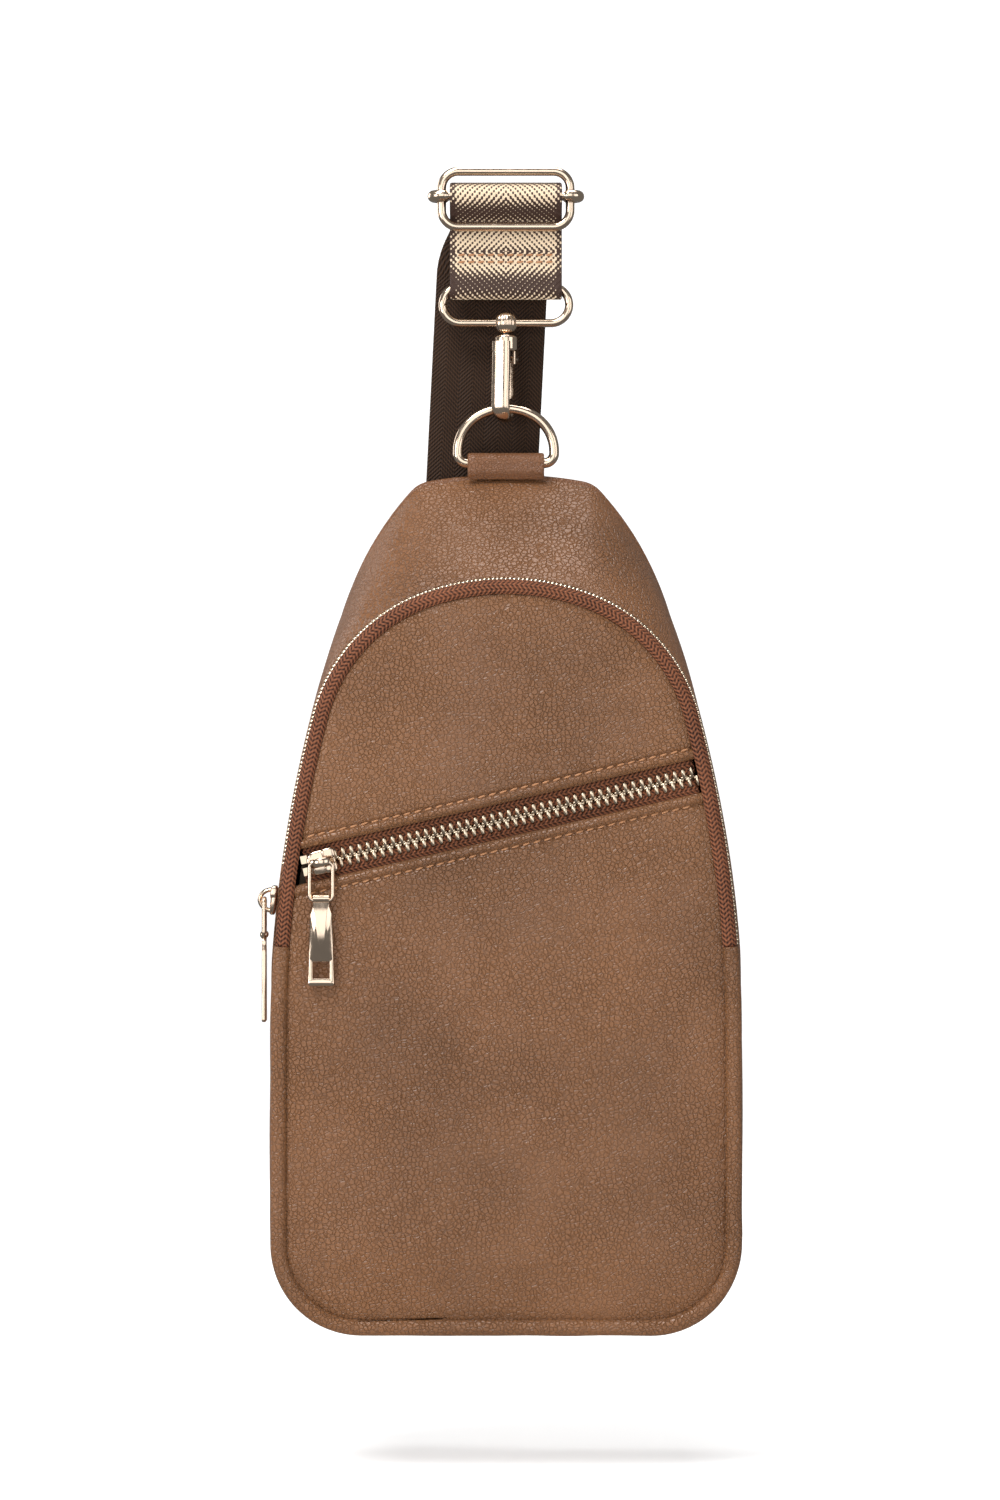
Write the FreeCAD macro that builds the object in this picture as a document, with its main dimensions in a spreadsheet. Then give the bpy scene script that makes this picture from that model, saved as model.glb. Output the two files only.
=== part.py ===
# Sling bag: a teardrop leather body, a zipped front panel with a pocket zip, and a webbing strap.
#
# Frame: millimetres, +Z up, -Y is the front. The origin is the middle of the underside of the strap
# adjuster's top bar, where a peg holds the hanging bag. The bag's own heights count up from its base.

import FreeCAD
import Part

import math
import os

from FreeCAD import Placement, Rotation, Vector

DOC = FreeCAD.newDocument("SlingBag")
SHEET = DOC.addObject("Spreadsheet::Sheet", "Dims")

# Driving dimensions: alias, value, meaning.
DIMENSIONS = [
    ("base_z", -387.0, "height of the bag's base below the hanging bar"),
    ("back_face", 2.0, "outer face of the back panel"),
    ("back_thick", 2.0, "back panel leather and board"),
    ("loft_front", -38.0, "where the tapering walls turn straight"),
    ("front_plane", -50.0, "front edge of the walls"),
    ("panel_thick", 2.0, "front panel leather with its backing"),
    ("wall", 1.8, "gusset leather with lining board"),
    ("lining", 0.5, "lining fabric"),
    ("board", 1.2, "stiffening board in the back"),
    ("foam", 2.5, "back padding"),
    ("back_clear", 5.5, "back padding, in from the gusset's lining"),
    ("seam_inset", 5.2, "front panel seam, in from the outline"),
    ("back_width", 160.0, "back outline, widest"),
    ("back_height", 286.0, "back outline, tallest"),
    ("back_corner", 31.0, "back outline, base corner radius"),
    ("back_straight", 9.0, "back outline, straight side"),
    ("front_width", 155.0, "front outline, widest"),
    ("front_base", 0.0, "front outline, lowest"),
    ("front_height", 249.0, "front outline, top of the arch"),
    ("front_corner", 30.0, "front outline, base corner radius"),
    ("front_straight", 68.0, "front outline, straight side"),
    ("side_turn", 15.0, "front outline, turn of the long side arc"),
    ("zip_end", 128.0, "height of both ends of the main zip"),
    ("flap_line", 105.0, "height at which the front panel bends open"),
    ("zip_gap", 0.7, "half the free channel between two rows of teeth"),
    ("tooth_pitch", 2.8, "spacing of zip teeth"),
    ("tooth_wide", 1.3, "tooth, along the zip"),
    ("tooth_long", 2.6, "tooth, across the zip"),
    ("tooth_thick", 2.2, "tooth, through the tape"),
    ("tape_thick", 0.6, "zip tape"),
    ("tape_wide", 7.0, "pocket zip tape"),
    ("pocket_left_x", -61.8, "pocket zip, left end"),
    ("pocket_left_h", 155.4, "pocket zip, left end height"),
    ("pocket_right_x", 62.8, "pocket zip, right end"),
    ("pocket_right_h", 184.0, "pocket zip, right end height"),
    ("pocket_slot", 11.0, "gap between the leather edges over the pocket zip"),
    ("web_wide", 38.0, "strap webbing width"),
    ("web_thick", 1.4, "strap webbing thickness"),
    ("frame_wire", 1.5, "adjuster frame wire radius"),
    ("frame_wide", 46.5, "adjuster frame, outside"),
    ("frame_tall", 21.8, "adjuster frame, outside"),
    ("frame_corner", 6.0, "adjuster frame corner radius, on the wire's centre"),
    ("frame_y", -5.5, "adjuster frame plane"),
    ("bar_wire", 1.3, "adjuster centre bar radius"),
    ("curl_thick", 1.1, "curled ends of the centre bar, around the frame"),
    ("curl_tall", 3.6, "curled ends, along the frame's side"),
    ("rod_half", 19.4, "half the centre bar's straight length"),
    ("bar_z", -7.0, "adjuster centre bar height"),
    ("eye_wire", 1.4, "hook eye wire radius"),
    ("eye_wide", 43.0, "hook eye, between wire centres"),
    ("eye_top", -36.9, "hook eye top bar"),
    ("eye_low", -49.4, "hook eye bottom bar"),
    ("ball", 3.9, "swivel ball radius"),
    ("collar_top", -53.6, "hook collar, top"),
    ("collar_low", -59.0, "hook collar, bottom"),
    ("collar", 4.0, "hook collar radius"),
    ("swivel_pin", 1.4, "swivel pin radius"),
    ("swivel_play", 0.08, "running clearance of the swivel and gate pins"),
    ("throat_z", -77.4, "centre of the hook's bend"),
    ("throat", 4.4, "hook bend radius on the wire's centre"),
    ("hook_wire", 1.4, "hook wire radius"),
    ("hook_turn", 25.0, "hook's plane, turned from the fore-and-aft plane"),
    ("ring_wire", 1.7, "D-ring wire radius"),
    ("ring_wide", 32.8, "D-ring, between wire centres"),
    ("ring_top", -78.4, "D-ring, top of the arch"),
    ("ring_bar", -97.0, "D-ring, straight bar"),
    ("tab_wide", 26.0, "leather tab width"),
    ("tab_thick", 1.5, "leather tab thickness"),
    ("tab_long", 26.0, "leather tab, sewn length"),
    ("run_inner", 7.2, "inner strap run behind the bag, front face"),
    ("run_outer", 9.4, "outer strap run behind the bag, front face"),
    ("run_lean", 2.9, "lean of the strap runs, degrees"),
    ("run_shift", -3.0, "sideways shift of the strap runs at the bar"),
    ("run_split", -107.0, "height at which the runs meet the bag's back"),
    ("low_ring_top", -358.0, "lower ring, strap bar"),
    ("low_ring_bar", -371.0, "lower ring, tab bar"),
    ("low_ring_wire", 1.5, "lower ring wire radius"),
    ("low_ring_wide", 45.0, "lower ring, between wire centres"),
    ("flap_axis_y", -52.4, "front panel bend axis"),
    ("slider_long", 9.5, "zip slider length"),
    ("slider_wide", 8.6, "zip slider width"),
    ("slider_plate", 1.0, "zip slider plate"),
    ("slider_gap", 0.4, "clearance of the plates over the teeth"),
    ("pin_rise", 3.3, "bail pin above the slider's plate"),
    ("lug_wide", 5.0, "slider lug, along its pin"),
    ("lug_deep", 2.8, "slider lug, across its pin"),
    ("pin_play", 0.06, "running clearance of the bail and barrel pins"),
    ("bail_pin", 1.3, "bail pin, straight part inside the lug"),
    ("bail_wire", 0.65, "puller bail wire radius"),
    ("bail_wide", 7.6, "puller bail, between wire centres"),
    ("bail_tall", 12.5, "puller bail, between wire centres"),
    ("pull_long", 30.0, "puller plate length"),
    ("pull_wide", 8.6, "puller plate width"),
    ("pull_neck", 5.2, "puller plate neck width"),
    ("pull_thick", 1.3, "puller plate thickness"),
    ("pull_window", 6.0, "puller plate window"),
    ("main_rest", 143.0, "height of the main slider when closed"),
    ("pocket_rest", 1.2, "pocket slider when closed, along its zip"),
    ("pocket_deep", 4.6, "pocket lining behind the front edge of the walls"),
    ("eye_play", 0.9, "clearance of the webbing around the hook eye"),
    ("eye_sag", 0.8, "webbing loop's centre below the eye's top bar"),
    ("seam_top", -25.5, "stitched seam of the strap over the eye loop"),
    ("leg_top", -18.8, "top of the strap's front leg"),
    ("rear_top", -20.8, "top of the rear strap runs"),
    ("wrap_play", 0.1, "webbing clear of the wire that it turns around"),
    ("pocket_wide", 96.0, "slip pocket width"),
    ("pocket_tall", 92.0, "slip pocket height"),
    ("pocket_foot", 62.0, "slip pocket, bottom edge above the base"),
    ("pocket_hem", 6.0, "slip pocket hem"),
    ("gate_pin", 0.6, "bore radius of the gate's pin"),
    ("gate_wide", 2.6, "gate, along its pin"),
    ("gate_thick", 1.3, "gate thickness and knuckle radius"),
    ("spine_wide", 6.4, "hook spine width"),
    ("spine_thick", 2.4, "hook spine thickness"),
    ("ear_wide", 3.6, "gate ear, across"),
    ("ear_tall", 5.4, "gate ear height"),
    ("tab_play", 0.3, "leather tab clear of its ring"),
    ("low_tab_wide", 34.0, "lower tab width"),
    ("low_tab_long", 15.0, "lower tab, sewn length"),
    ("stitch_long", 2.6, "strap stitch length"),
    ("stitch_deep", 0.35, "strap stitch, above the webbing"),
    ("stitch_wide", 0.5, "strap stitch width"),
    ("clear_half", 200.0, "half the size of the blocks that divide the outline"),
    ("mouth_deep", 5.0, "middle of the main zip behind the front edge of the walls"),
    ("pocket_row", 1.6, "middle of the pocket zip behind the front edge of the walls"),
    ("ring_corner", 3.4, "D-ring lower corner radius"),
    ("ring_crown", 19.0, "D-ring crown radius"),
    ("ring_shoulder", 14.0, "D-ring shoulder radius"),
]

for row, (alias, value, meaning) in enumerate(DIMENSIONS, start=1):
    SHEET.set("A%d" % row, meaning)
    SHEET.set("B%d" % row, str(value))
    SHEET.setAlias("B%d" % row, alias)
DOC.recompute()

PIECES = []


def dim(alias):
    """One driving dimension, read from the spreadsheet."""
    return float(SHEET.get(alias))


def keep(item, label):
    """Give a finished sub-part its node name and list it for export."""
    item.Label = label
    PIECES.append(item)
    return item


def feature(label, shape, place=None):
    """A sub-part whose shape is made with Part's own functions."""
    item = DOC.addObject("Part::Feature", label)
    item.Shape = shape
    if place is not None:
        item.Placement = place
    return keep(item, label)


def height(above_base):
    """Row height of a point given by its height above the bag's base."""
    return dim("base_z") + above_base


def bind(item, **sizes):
    """Bind an object's properties to spreadsheet expressions."""
    for prop, text in sizes.items():
        item.setExpression(prop, text)


def place_at(item, x="0", y="0", z="0"):
    """Bind an object's position to spreadsheet expressions."""
    bind(item, **{"Placement.Base.x": x, "Placement.Base.y": y, "Placement.Base.z": z})
    return item


def cylinder_object(name, place, **sizes):
    """A Part::Cylinder with its sizes bound to the spreadsheet."""
    item = DOC.addObject("Part::Cylinder", name)
    bind(item, **sizes)
    item.Placement = place
    return item


def cross_cylinder(name, radius, length, y="0", z="0"):
    """A Part::Cylinder along x, centred on x 0, all bound to the spreadsheet."""
    item = cylinder_object(name, Placement(Vector(), Rotation(Vector(0, 1, 0), 90)), Radius=radius, Height=length)
    return place_at(item, "-(%s) / 2" % length, y, z)


def block(name, corner, sizes):
    """A Part::Box with its lowest corner and its sizes bound to the spreadsheet."""
    item = DOC.addObject("Part::Box", name)
    bind(item, Length=sizes[0], Width=sizes[1], Height=sizes[2])
    return place_at(item, *corner)


def cut(name, base, tool):
    """A Part::Cut of one object by another."""
    item = DOC.addObject("Part::Cut", name)
    item.Base, item.Tool = base, tool
    return item


def common(name, base, tool):
    """A Part::Common of two objects."""
    item = DOC.addObject("Part::Common", name)
    item.Base, item.Tool = base, tool
    return item


def fuse(name, items):
    """A Part::MultiFuse of several objects, with its seams cleaned away."""
    item = DOC.addObject("Part::MultiFuse", name)
    item.Shapes = items
    item.Refine = True
    return item


def fuse_one(name, item):
    """One object under its own placement, with its seams cleaned away."""
    copy = DOC.addObject("Part::Refine", name)
    copy.Source = item
    return copy


def profile(name, shape, x="0", y="0"):
    """A flat profile drawn at the origin, with its position bound to the spreadsheet."""
    item = DOC.addObject("Part::Feature", name)
    item.Shape = shape
    return place_at(item, x, y)


def extrusion(name, base, way, length):
    """A Part::Extrusion of a profile along an axis, its length bound to the spreadsheet."""
    item = DOC.addObject("Part::Extrusion", name)
    item.Base = base
    item.DirMode = "Custom"
    item.Dir = way
    item.Solid = True
    bind(item, LengthFwd=length)
    return item


def across(name, shape, length):
    """A profile in the plane of y and z, extruded along x and centred on x 0."""
    return extrusion(name, profile(name + "_profile", shape, x="-(%s) / 2" % length), Vector(1, 0, 0), length)


def through(name, shape, start, end):
    """A profile in the plane of x and z, extruded from one depth to another."""
    return extrusion(name, profile(name + "_profile", shape, y=start), Vector(0, 1, 0), "(%s) - (%s)" % (end, start))


def polygon(points):
    """A flat face with straight sides through the points."""
    return Part.Face(Part.makePolygon(list(points) + [points[0]]))


def swept(name, edges, radius, closed):
    """A Part::Sweep of a round section, its radius bound to the spreadsheet, along a path of edges."""
    path = DOC.addObject("Part::Feature", name + "_path")
    path.Shape = Part.Wire(edges)
    first = path.Shape.OrderedEdges[0]
    start = first.valueAt(first.FirstParameter)
    section = DOC.addObject("Part::Circle", name + "_section")
    bind(section, Radius=radius)
    section.Placement = Placement(start, Rotation(Vector(0, 0, 1), first.tangentAt(first.FirstParameter)))
    item = DOC.addObject("Part::Sweep", name)
    item.Sections = [section]
    item.Spine = (path, ["Edge%d" % (i + 1) for i in range(len(path.Shape.Edges))])
    item.Solid = True
    item.Frenet = closed
    item.Transition = "Transformed"
    return item


# ---------------------------------------------------------------- outlines of the bag


def turn_step(heading, turn):
    """Displacement for unit radius of an arc that starts at a heading and turns left, in degrees."""
    first = math.radians(heading)
    last = math.radians(heading + turn)
    return Vector(math.sin(last) - math.sin(first), math.cos(first) - math.cos(last), 0)


def outline_chain(width, base, top, corner, straight, turns, middle):
    """Straights and tangent arcs from the base's middle up the right side to the top's middle.

    turns are the four arcs above the side's straight and add to 90 degrees; middle holds the radii
    of the second and third. The first and last radii are solved so that the chain closes.
    """
    heads = [90.0]
    for turn in turns:
        heads.append(heads[-1] + turn)
    steps = [turn_step(h, t) for h, t in zip(heads, turns)]
    rest = Vector(width / 2, base + corner + straight, 0)
    rest = rest + steps[1] * middle[0] + steps[2] * middle[1]
    want_x, want_h = -rest.x, top - rest.y
    a, b = steps[0], steps[3]
    det = a.x * b.y - b.x * a.y
    first = (want_x * b.y - b.x * want_h) / det
    last = (a.x * want_h - want_x * a.y) / det
    return [(first, turns[0]), (middle[0], turns[1]), (middle[1], turns[2]), (last, turns[3])]


def arc_edge(start, heading, radius, turn, y):
    """An arc edge in the plane at y, its end point and heading, with x across and z as height."""
    middle = start + turn_step(heading, turn / 2) * radius
    end = start + turn_step(heading, turn) * radius
    points = [Vector(p.x, y, height(p.y)) for p in (start, middle, end)]
    return Part.Arc(*points).toShape(), end, heading + turn


def mirror_edge(edge, y):
    """The same arc or line on the other side of the middle plane, run the other way."""
    first, last = edge.firstVertex(True).Point, edge.lastVertex(True).Point
    half = edge.valueAt((edge.FirstParameter + edge.LastParameter) / 2)
    flip = [Vector(-p.x, y, p.z) for p in (last, half, first)]
    if isinstance(edge.Curve, Part.Line):
        return Part.LineSegment(flip[0], flip[2]).toShape()
    return Part.Arc(*flip).toShape()


def outline(kind, inset, y):
    """Closed wire of the back or front outline, moved in by inset, in the plane at y."""
    if kind == "back":
        width, base, top, corner = dim("back_width"), 0.0, dim("back_height"), dim("back_corner")
        straight = dim("back_straight")
        arcs = outline_chain(width, base, top, corner, straight, (13.5, 28.5, 38.0, 10.0), (110.0, 10.0))
    else:
        width, base, top = dim("front_width"), dim("front_base"), dim("front_height")
        corner, straight = dim("front_corner"), dim("front_straight")
        side = dim("side_turn")
        arcs = outline_chain(width, base, top, corner, straight, (side, 27.5, 27.5, 90.0 - side - 55.0), (58.0, 58.0))
    point = Vector(width / 2 - corner, base + inset, 0)
    floor = Part.LineSegment(
        Vector(-point.x, y, height(point.y)), Vector(point.x, y, height(point.y))
    ).toShape()
    edges = []
    edge, point, heading = arc_edge(point, 0.0, corner - inset, 90.0, y)
    edges.append(edge)
    upper = point + Vector(0, straight, 0)
    edges.append(
        Part.LineSegment(Vector(point.x, y, height(point.y)), Vector(upper.x, y, height(upper.y))).toShape()
    )
    point = upper
    for radius, turn in arcs:
        edge, point, heading = arc_edge(point, heading, radius - inset, turn, y)
        edges.append(edge)
    left = [mirror_edge(e, y) for e in reversed(edges)]
    return Part.Wire([floor] + edges + left)


def plate(name, kind, inset, start, end):
    """A solid plate of an outline from one depth to another, the depths bound to the spreadsheet."""
    return through(name, Part.Face(outline(kind, inset, 0.0)), start, end)


def slab(name, low, high):
    """A wide block between two heights above the base, bound to the spreadsheet."""
    corner = ("-Dims.clear_half", "-Dims.clear_half", "Dims.base_z + (%s)" % low)
    return block(name, corner, ("2 * Dims.clear_half", "2 * Dims.clear_half", "(%s) - (%s)" % (high, low)))


def band(name, inset, thick, start, end):
    """A hollow wall of the front outline from one depth to another."""
    outer = plate(name + "_outer", "front", inset, start, end)
    inner = plate(name + "_inner", "front", inset + thick, "%s - 1" % start, "%s + 1" % end)
    return cut(name, outer, inner)


def loft(name, inset):
    """A ruled Part::Loft from the back outline to the front outline."""
    far = profile(name + "_far", outline("back", inset, 0.0), y="Dims.back_face - Dims.back_thick")
    near = profile(name + "_near", outline("front", inset, 0.0), y="Dims.loft_front")
    item = DOC.addObject("Part::Loft", name)
    item.Sections = [far, near]
    item.Solid = True
    item.Ruled = True
    return item


def tapered_wall(name, inset, thick):
    """The wall between the back outline and the front outline."""
    return cut(name, loft(name + "_outer", inset), loft(name + "_inner", inset + thick))


# ---------------------------------------------------------------- the bag's body


def make_walls():
    """Lower gusset, crown and their linings."""
    wall, lining = dim("wall"), dim("lining")
    shell = tapered_wall("shell", 0.0, wall)
    edge = band("front_edge", 0.0, wall, "Dims.front_plane", "Dims.loft_front")
    low = slab("below_zip", "-5", "Dims.zip_end")
    high = slab("above_zip", "Dims.zip_end", "300")
    lower = [common("lower_shell", shell, low), common("lower_edge", edge, low)]
    keep(fuse("lower_gusset", lower), "lower_gusset")
    keep(common("crown_gusset", shell, high), "crown_gusset")
    cloth = tapered_wall("cloth", wall + 0.05, lining)
    low = slab("below_cloth", "-5", "Dims.zip_end - 0.2")
    high = slab("above_cloth", "Dims.zip_end + 0.2", "300")
    keep(common("gusset_lining", cloth, low), "gusset_lining")
    keep(common("crown_lining", cloth, high), "crown_lining")
    make_end_tabs()


def make_end_tabs():
    """Small tabs that close the ends of the main zip's tape, one on each side."""
    hoop = band("tab_hoop", dim("wall") + 0.1, 1.0, "Dims.front_plane", "Dims.loft_front")
    sizes = ("12", "Dims.loft_front - Dims.front_plane - 2.6", "4.9")
    tabs = []
    for side, text in (("left", "-Dims.front_width / 2 - 1"), ("right", "Dims.front_width / 2 - 11")):
        corner = (text, "Dims.front_plane + 2.4", "Dims.base_z + Dims.zip_end + 0.1")
        tabs.append(common("%s_end_tab" % side, block("%s_tab_block" % side, corner, sizes), hoop))
    joined = DOC.addObject("Part::Compound", "zip_end_tabs")
    joined.Links = tabs
    keep(joined, "zip_end_tabs")


def make_back():
    """Back panel, its board, padding and lining, and the slip pocket on the lining."""
    clear = dim("wall") + dim("lining") + dim("back_clear")
    inner = "Dims.back_face - Dims.back_thick"
    keep(plate("back_panel", "back", 0.0, inner + " + 0.02", "Dims.back_face"), "back_panel")
    board = "%s - Dims.board" % inner
    keep(plate("back_board", "back", clear, board, inner), "back_board")
    foam = "%s - Dims.foam" % board
    keep(plate("back_padding", "back", clear, foam, board), "back_padding")
    cloth = "%s - Dims.lining - 0.05" % foam
    keep(plate("back_lining", "back", clear, cloth, foam + " - 0.05"), "back_lining")
    across_half = "-Dims.pocket_wide / 2"
    face = "%s - 2 * Dims.lining - 0.1" % foam
    foot = "Dims.base_z + Dims.pocket_foot"
    bag = block("pocket_body", (across_half, face, foot), ("Dims.pocket_wide", "Dims.lining", "Dims.pocket_tall"))
    corner = (across_half, face + " - Dims.lining", foot + " + Dims.pocket_tall - Dims.pocket_hem")
    hem = block("pocket_edge", corner, ("Dims.pocket_wide", "Dims.lining", "Dims.pocket_hem"))
    keep(fuse("slip_pocket", [bag, hem]), "slip_pocket")


def front_frame():
    """Left end, direction and length of the pocket zip in the panel's plane."""
    left = Vector(dim("pocket_left_x"), 0, height(dim("pocket_left_h")))
    right = Vector(dim("pocket_right_x"), 0, height(dim("pocket_right_h")))
    return left, (right - left).normalize(), (right - left).Length


def along_zip(u, v, y):
    """Point at u along and v above the pocket zip's line, at depth y."""
    left, way, _ = front_frame()
    up = Vector(-way.z, 0, way.x)
    point = left + way * u + up * v
    return Vector(point.x, y, point.z)


def strip(u0, u1, v0, v1):
    """A flat straight strip that follows the pocket zip, in the plane at y 0."""
    return polygon([along_zip(u, v, 0.0) for u, v in ((u0, v0), (u1, v0), (u1, v1), (u0, v1))])


def make_front():
    """Front panel in three leather pieces, its rim, and the pocket lining behind it."""
    inset, half, long = dim("seam_inset"), dim("pocket_slot") / 2, dim("clear_half")
    outside = "Dims.front_plane - Dims.panel_thick"
    panel = plate("panel", "front", inset, outside, "Dims.front_plane - 0.02")
    span = ("Dims.front_plane - 5", "Dims.front_plane + 5")
    above = through("above_pocket", strip(-long, long, half, long), *span)
    below = through("below_pocket", strip(-long, long, -long, -half), *span)
    keep(common("front_panel_upper", panel, above), "front_panel_upper")
    bent = slab("above_fold", "Dims.flap_line + 0.4", "300")
    middle = common("panel_under_pocket", panel, below)
    keep(common("front_panel_middle", middle, bent), "front_panel_middle")
    keep(common("front_panel_lower", panel, slab("below_fold", "-5", "Dims.flap_line - 0.4")), "front_panel_lower")
    ring = plate("rim_outer", "front", 0.0, "Dims.front_plane - 1.4", "Dims.front_plane")
    hole = plate("rim_inner", "front", inset - 0.3, "Dims.front_plane - 3", "Dims.front_plane + 3")
    rim = cut("rim", ring, hole)
    keep(common("front_rim", rim, slab("rim_part", "-5", "Dims.zip_end")), "front_rim")
    deep = "Dims.front_plane + Dims.pocket_deep"
    inner = plate("inner_cloth", "front", inset + 1.0, deep, deep + " + Dims.lining")
    keep(common("pocket_lining", inner, slab("pocket_part", "Dims.flap_line + 0.6", "300")), "pocket_lining")
    keep(common("front_lining", inner, slab("lower_part", "-5", "Dims.flap_line - 0.6")), "front_lining")


# ---------------------------------------------------------------- zips


def path_points(inset, first_h, pitch, shift):
    """Points and tangents along the arch of the front outline, one pitch apart, above a height."""
    spots = []
    travel, start = shift, 0.0
    for edge in outline("front", inset, 0.0).OrderedEdges:
        while travel < start + edge.Length:
            at = edge.getParameterByLength(travel - start)
            point, way = edge.valueAt(at), edge.tangentAt(at)
            if point.z > height(first_h):
                spots.append((point, way))
            travel += pitch
        start += edge.Length
    return spots


def tooth(point, way):
    """The flat outline of a tooth around a point on the arch, in the plane at y 0."""
    out = Vector(way.z, 0, -way.x)
    wide, thick = dim("tooth_wide"), dim("tooth_thick")
    corners = []
    for a, b in ((-1, -1), (1, -1), (1, 1), (-1, 1)):
        corner = point + way * (a * wide / 2) + out * (b * thick / 2)
        corners.append(Vector(corner.x, 0.0, corner.z))
    return polygon(corners)


def make_main_zip():
    """Rear and front tapes and rows of teeth around the mouth of the bag."""
    tape, pitch, mid = dim("tape_thick"), dim("tooth_pitch"), dim("tooth_thick") / 2
    middle = "Dims.front_plane + Dims.mouth_deep"
    reach = "Dims.zip_gap + Dims.tooth_long"
    inset = mid - tape / 2
    rear = band("rear_hoop", inset, tape, "%s + %s + 0.05" % (middle, reach), "Dims.loft_front")
    above = slab("rear_tape_part", "Dims.zip_end + 0.1", "300")
    keep(common("main_zip_rear_tape", rear, above), "main_zip_rear_tape")
    side = band("front_hoop", inset, tape, "Dims.front_plane", "%s - (%s) - 0.05" % (middle, reach))
    outer = plate("tape_outer", "front", inset, "Dims.front_plane - Dims.tape_thick", "Dims.front_plane")
    hole = plate("tape_inner", "front", dim("seam_inset") - 0.3, "Dims.front_plane - 3", "Dims.front_plane + 3")
    front = fuse("front_tape_ring", [side, cut("tape_face", outer, hole)])
    above = slab("front_tape_part", "Dims.zip_end + 0.3", "300")
    keep(common("main_zip_front_tape", front, above), "main_zip_front_tape")
    first = dim("main_rest") + dim("slider_long") / 2 + 1.5
    rear_row = Part.makeCompound([tooth(*spot) for spot in path_points(mid, first, pitch, 1.0)])
    front_row = Part.makeCompound([tooth(*spot) for spot in path_points(mid, first, pitch, 1.0 + pitch / 2)])
    rear = through("main_zip_rear_teeth", rear_row, middle + " + Dims.zip_gap", "%s + %s" % (middle, reach))
    front = through("main_zip_front_teeth", front_row, "%s - (%s)" % (middle, reach), middle + " - Dims.zip_gap")
    keep(rear, "main_zip_rear_teeth")
    keep(front, "main_zip_front_teeth")


def across_teeth(sign):
    """Lowest and highest edge of one row of teeth, across the pocket zip."""
    near = sign * dim("zip_gap")
    far = sign * (dim("zip_gap") + dim("tooth_long"))
    return min(near, far), max(near, far)


def make_pocket_zip():
    """Upper and lower tapes, rows of teeth and the end stops of the pocket zip."""
    length = front_frame()[2]
    centre = "Dims.front_plane + Dims.pocket_row"
    half = dim("tooth_wide") / 2
    depth = (centre + " - Dims.tooth_thick / 2", centre + " + Dims.tooth_thick / 2")
    inside = plate("pocket_frame", "front", dim("seam_inset") + 1.5, "Dims.front_plane - 5", "Dims.front_plane + 5")
    for name, sign in (("upper", 1), ("lower", -1)):
        near = sign * (dim("zip_gap") + dim("tooth_long") + 0.05)
        far = sign * (dim("zip_gap") + dim("tooth_long") + dim("tape_wide"))
        flat = strip(-3.0, length, min(near, far), max(near, far))
        run = through(name + "_tape", flat, centre + " - Dims.tape_thick / 2", centre + " + Dims.tape_thick / 2")
        keep(common("pocket_zip_%s_tape" % name, run, inside), "pocket_zip_%s_tape" % name)
        row = []
        u = dim("slider_long") / 2 + 1.5 + (0 if sign > 0 else dim("tooth_pitch") / 2)
        while u < length - 2.0:
            row.append(strip(u - half, u + half, *across_teeth(sign)))
            u += dim("tooth_pitch")
        teeth = through("pocket_zip_%s_teeth" % name, Part.makeCompound(row), *depth)
        keep(teeth, "pocket_zip_%s_teeth" % name)
    stops = Part.makeCompound([strip(-5.4, -3.2, *across_teeth(sign)) for sign in (-1, 1)])
    keep(through("pocket_zip_stops", stops, *depth), "pocket_zip_stops")


# ---------------------------------------------------------------- zip sliders and pullers


def slider_shape(turn):
    """Slider in its own axes: x along the zip, y across it, z outwards, z 0 in the teeth's middle.

    turn is the angle of the lug's pin hole from the y axis.
    """
    long, wide, plate = dim("slider_long"), dim("slider_wide"), dim("slider_plate")
    lift = dim("tooth_thick") / 2 + dim("slider_gap")
    plates = []
    for low in (lift, -lift - plate):
        block = Part.makeBox(long, wide, plate, Vector(-long / 2, -wide / 2, low))
        plates.append(block.makeFillet(2.2, [e for e in block.Edges if abs(e.tangentAt(0).z) > 0.9]))
    wedge = Part.makeBox(2.4, 1.0, 2 * lift, Vector(long / 2 - 3.6, -0.5, -lift))
    lug_wide, lug_deep = dim("lug_wide"), dim("lug_deep")
    foot = lift + plate
    lug = Part.makeBox(lug_deep, lug_wide, pin_reach() - foot, Vector(-lug_deep / 2, -lug_wide / 2, foot))
    cap = Part.makeCylinder(lug_deep / 2, lug_wide, Vector(0, -lug_wide / 2, pin_reach()), Vector(0, 1, 0))
    bore = Part.makeCylinder(
        dim("bail_wire") + dim("pin_play"), lug_wide + 2, Vector(0, -lug_wide / 2 - 1, pin_reach()), Vector(0, 1, 0)
    )
    lug = lug.fuse(cap).cut(bore)
    lug.Placement = Placement(Vector(), Rotation(Vector(0, 0, 1), turn))
    return plates[0].fuse([plates[1], wedge, lug]).removeSplitter()


def pin_reach():
    """Height of the bail's pin over the middle of the teeth."""
    return dim("tooth_thick") / 2 + dim("slider_gap") + dim("slider_plate") + dim("pin_rise")


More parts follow.
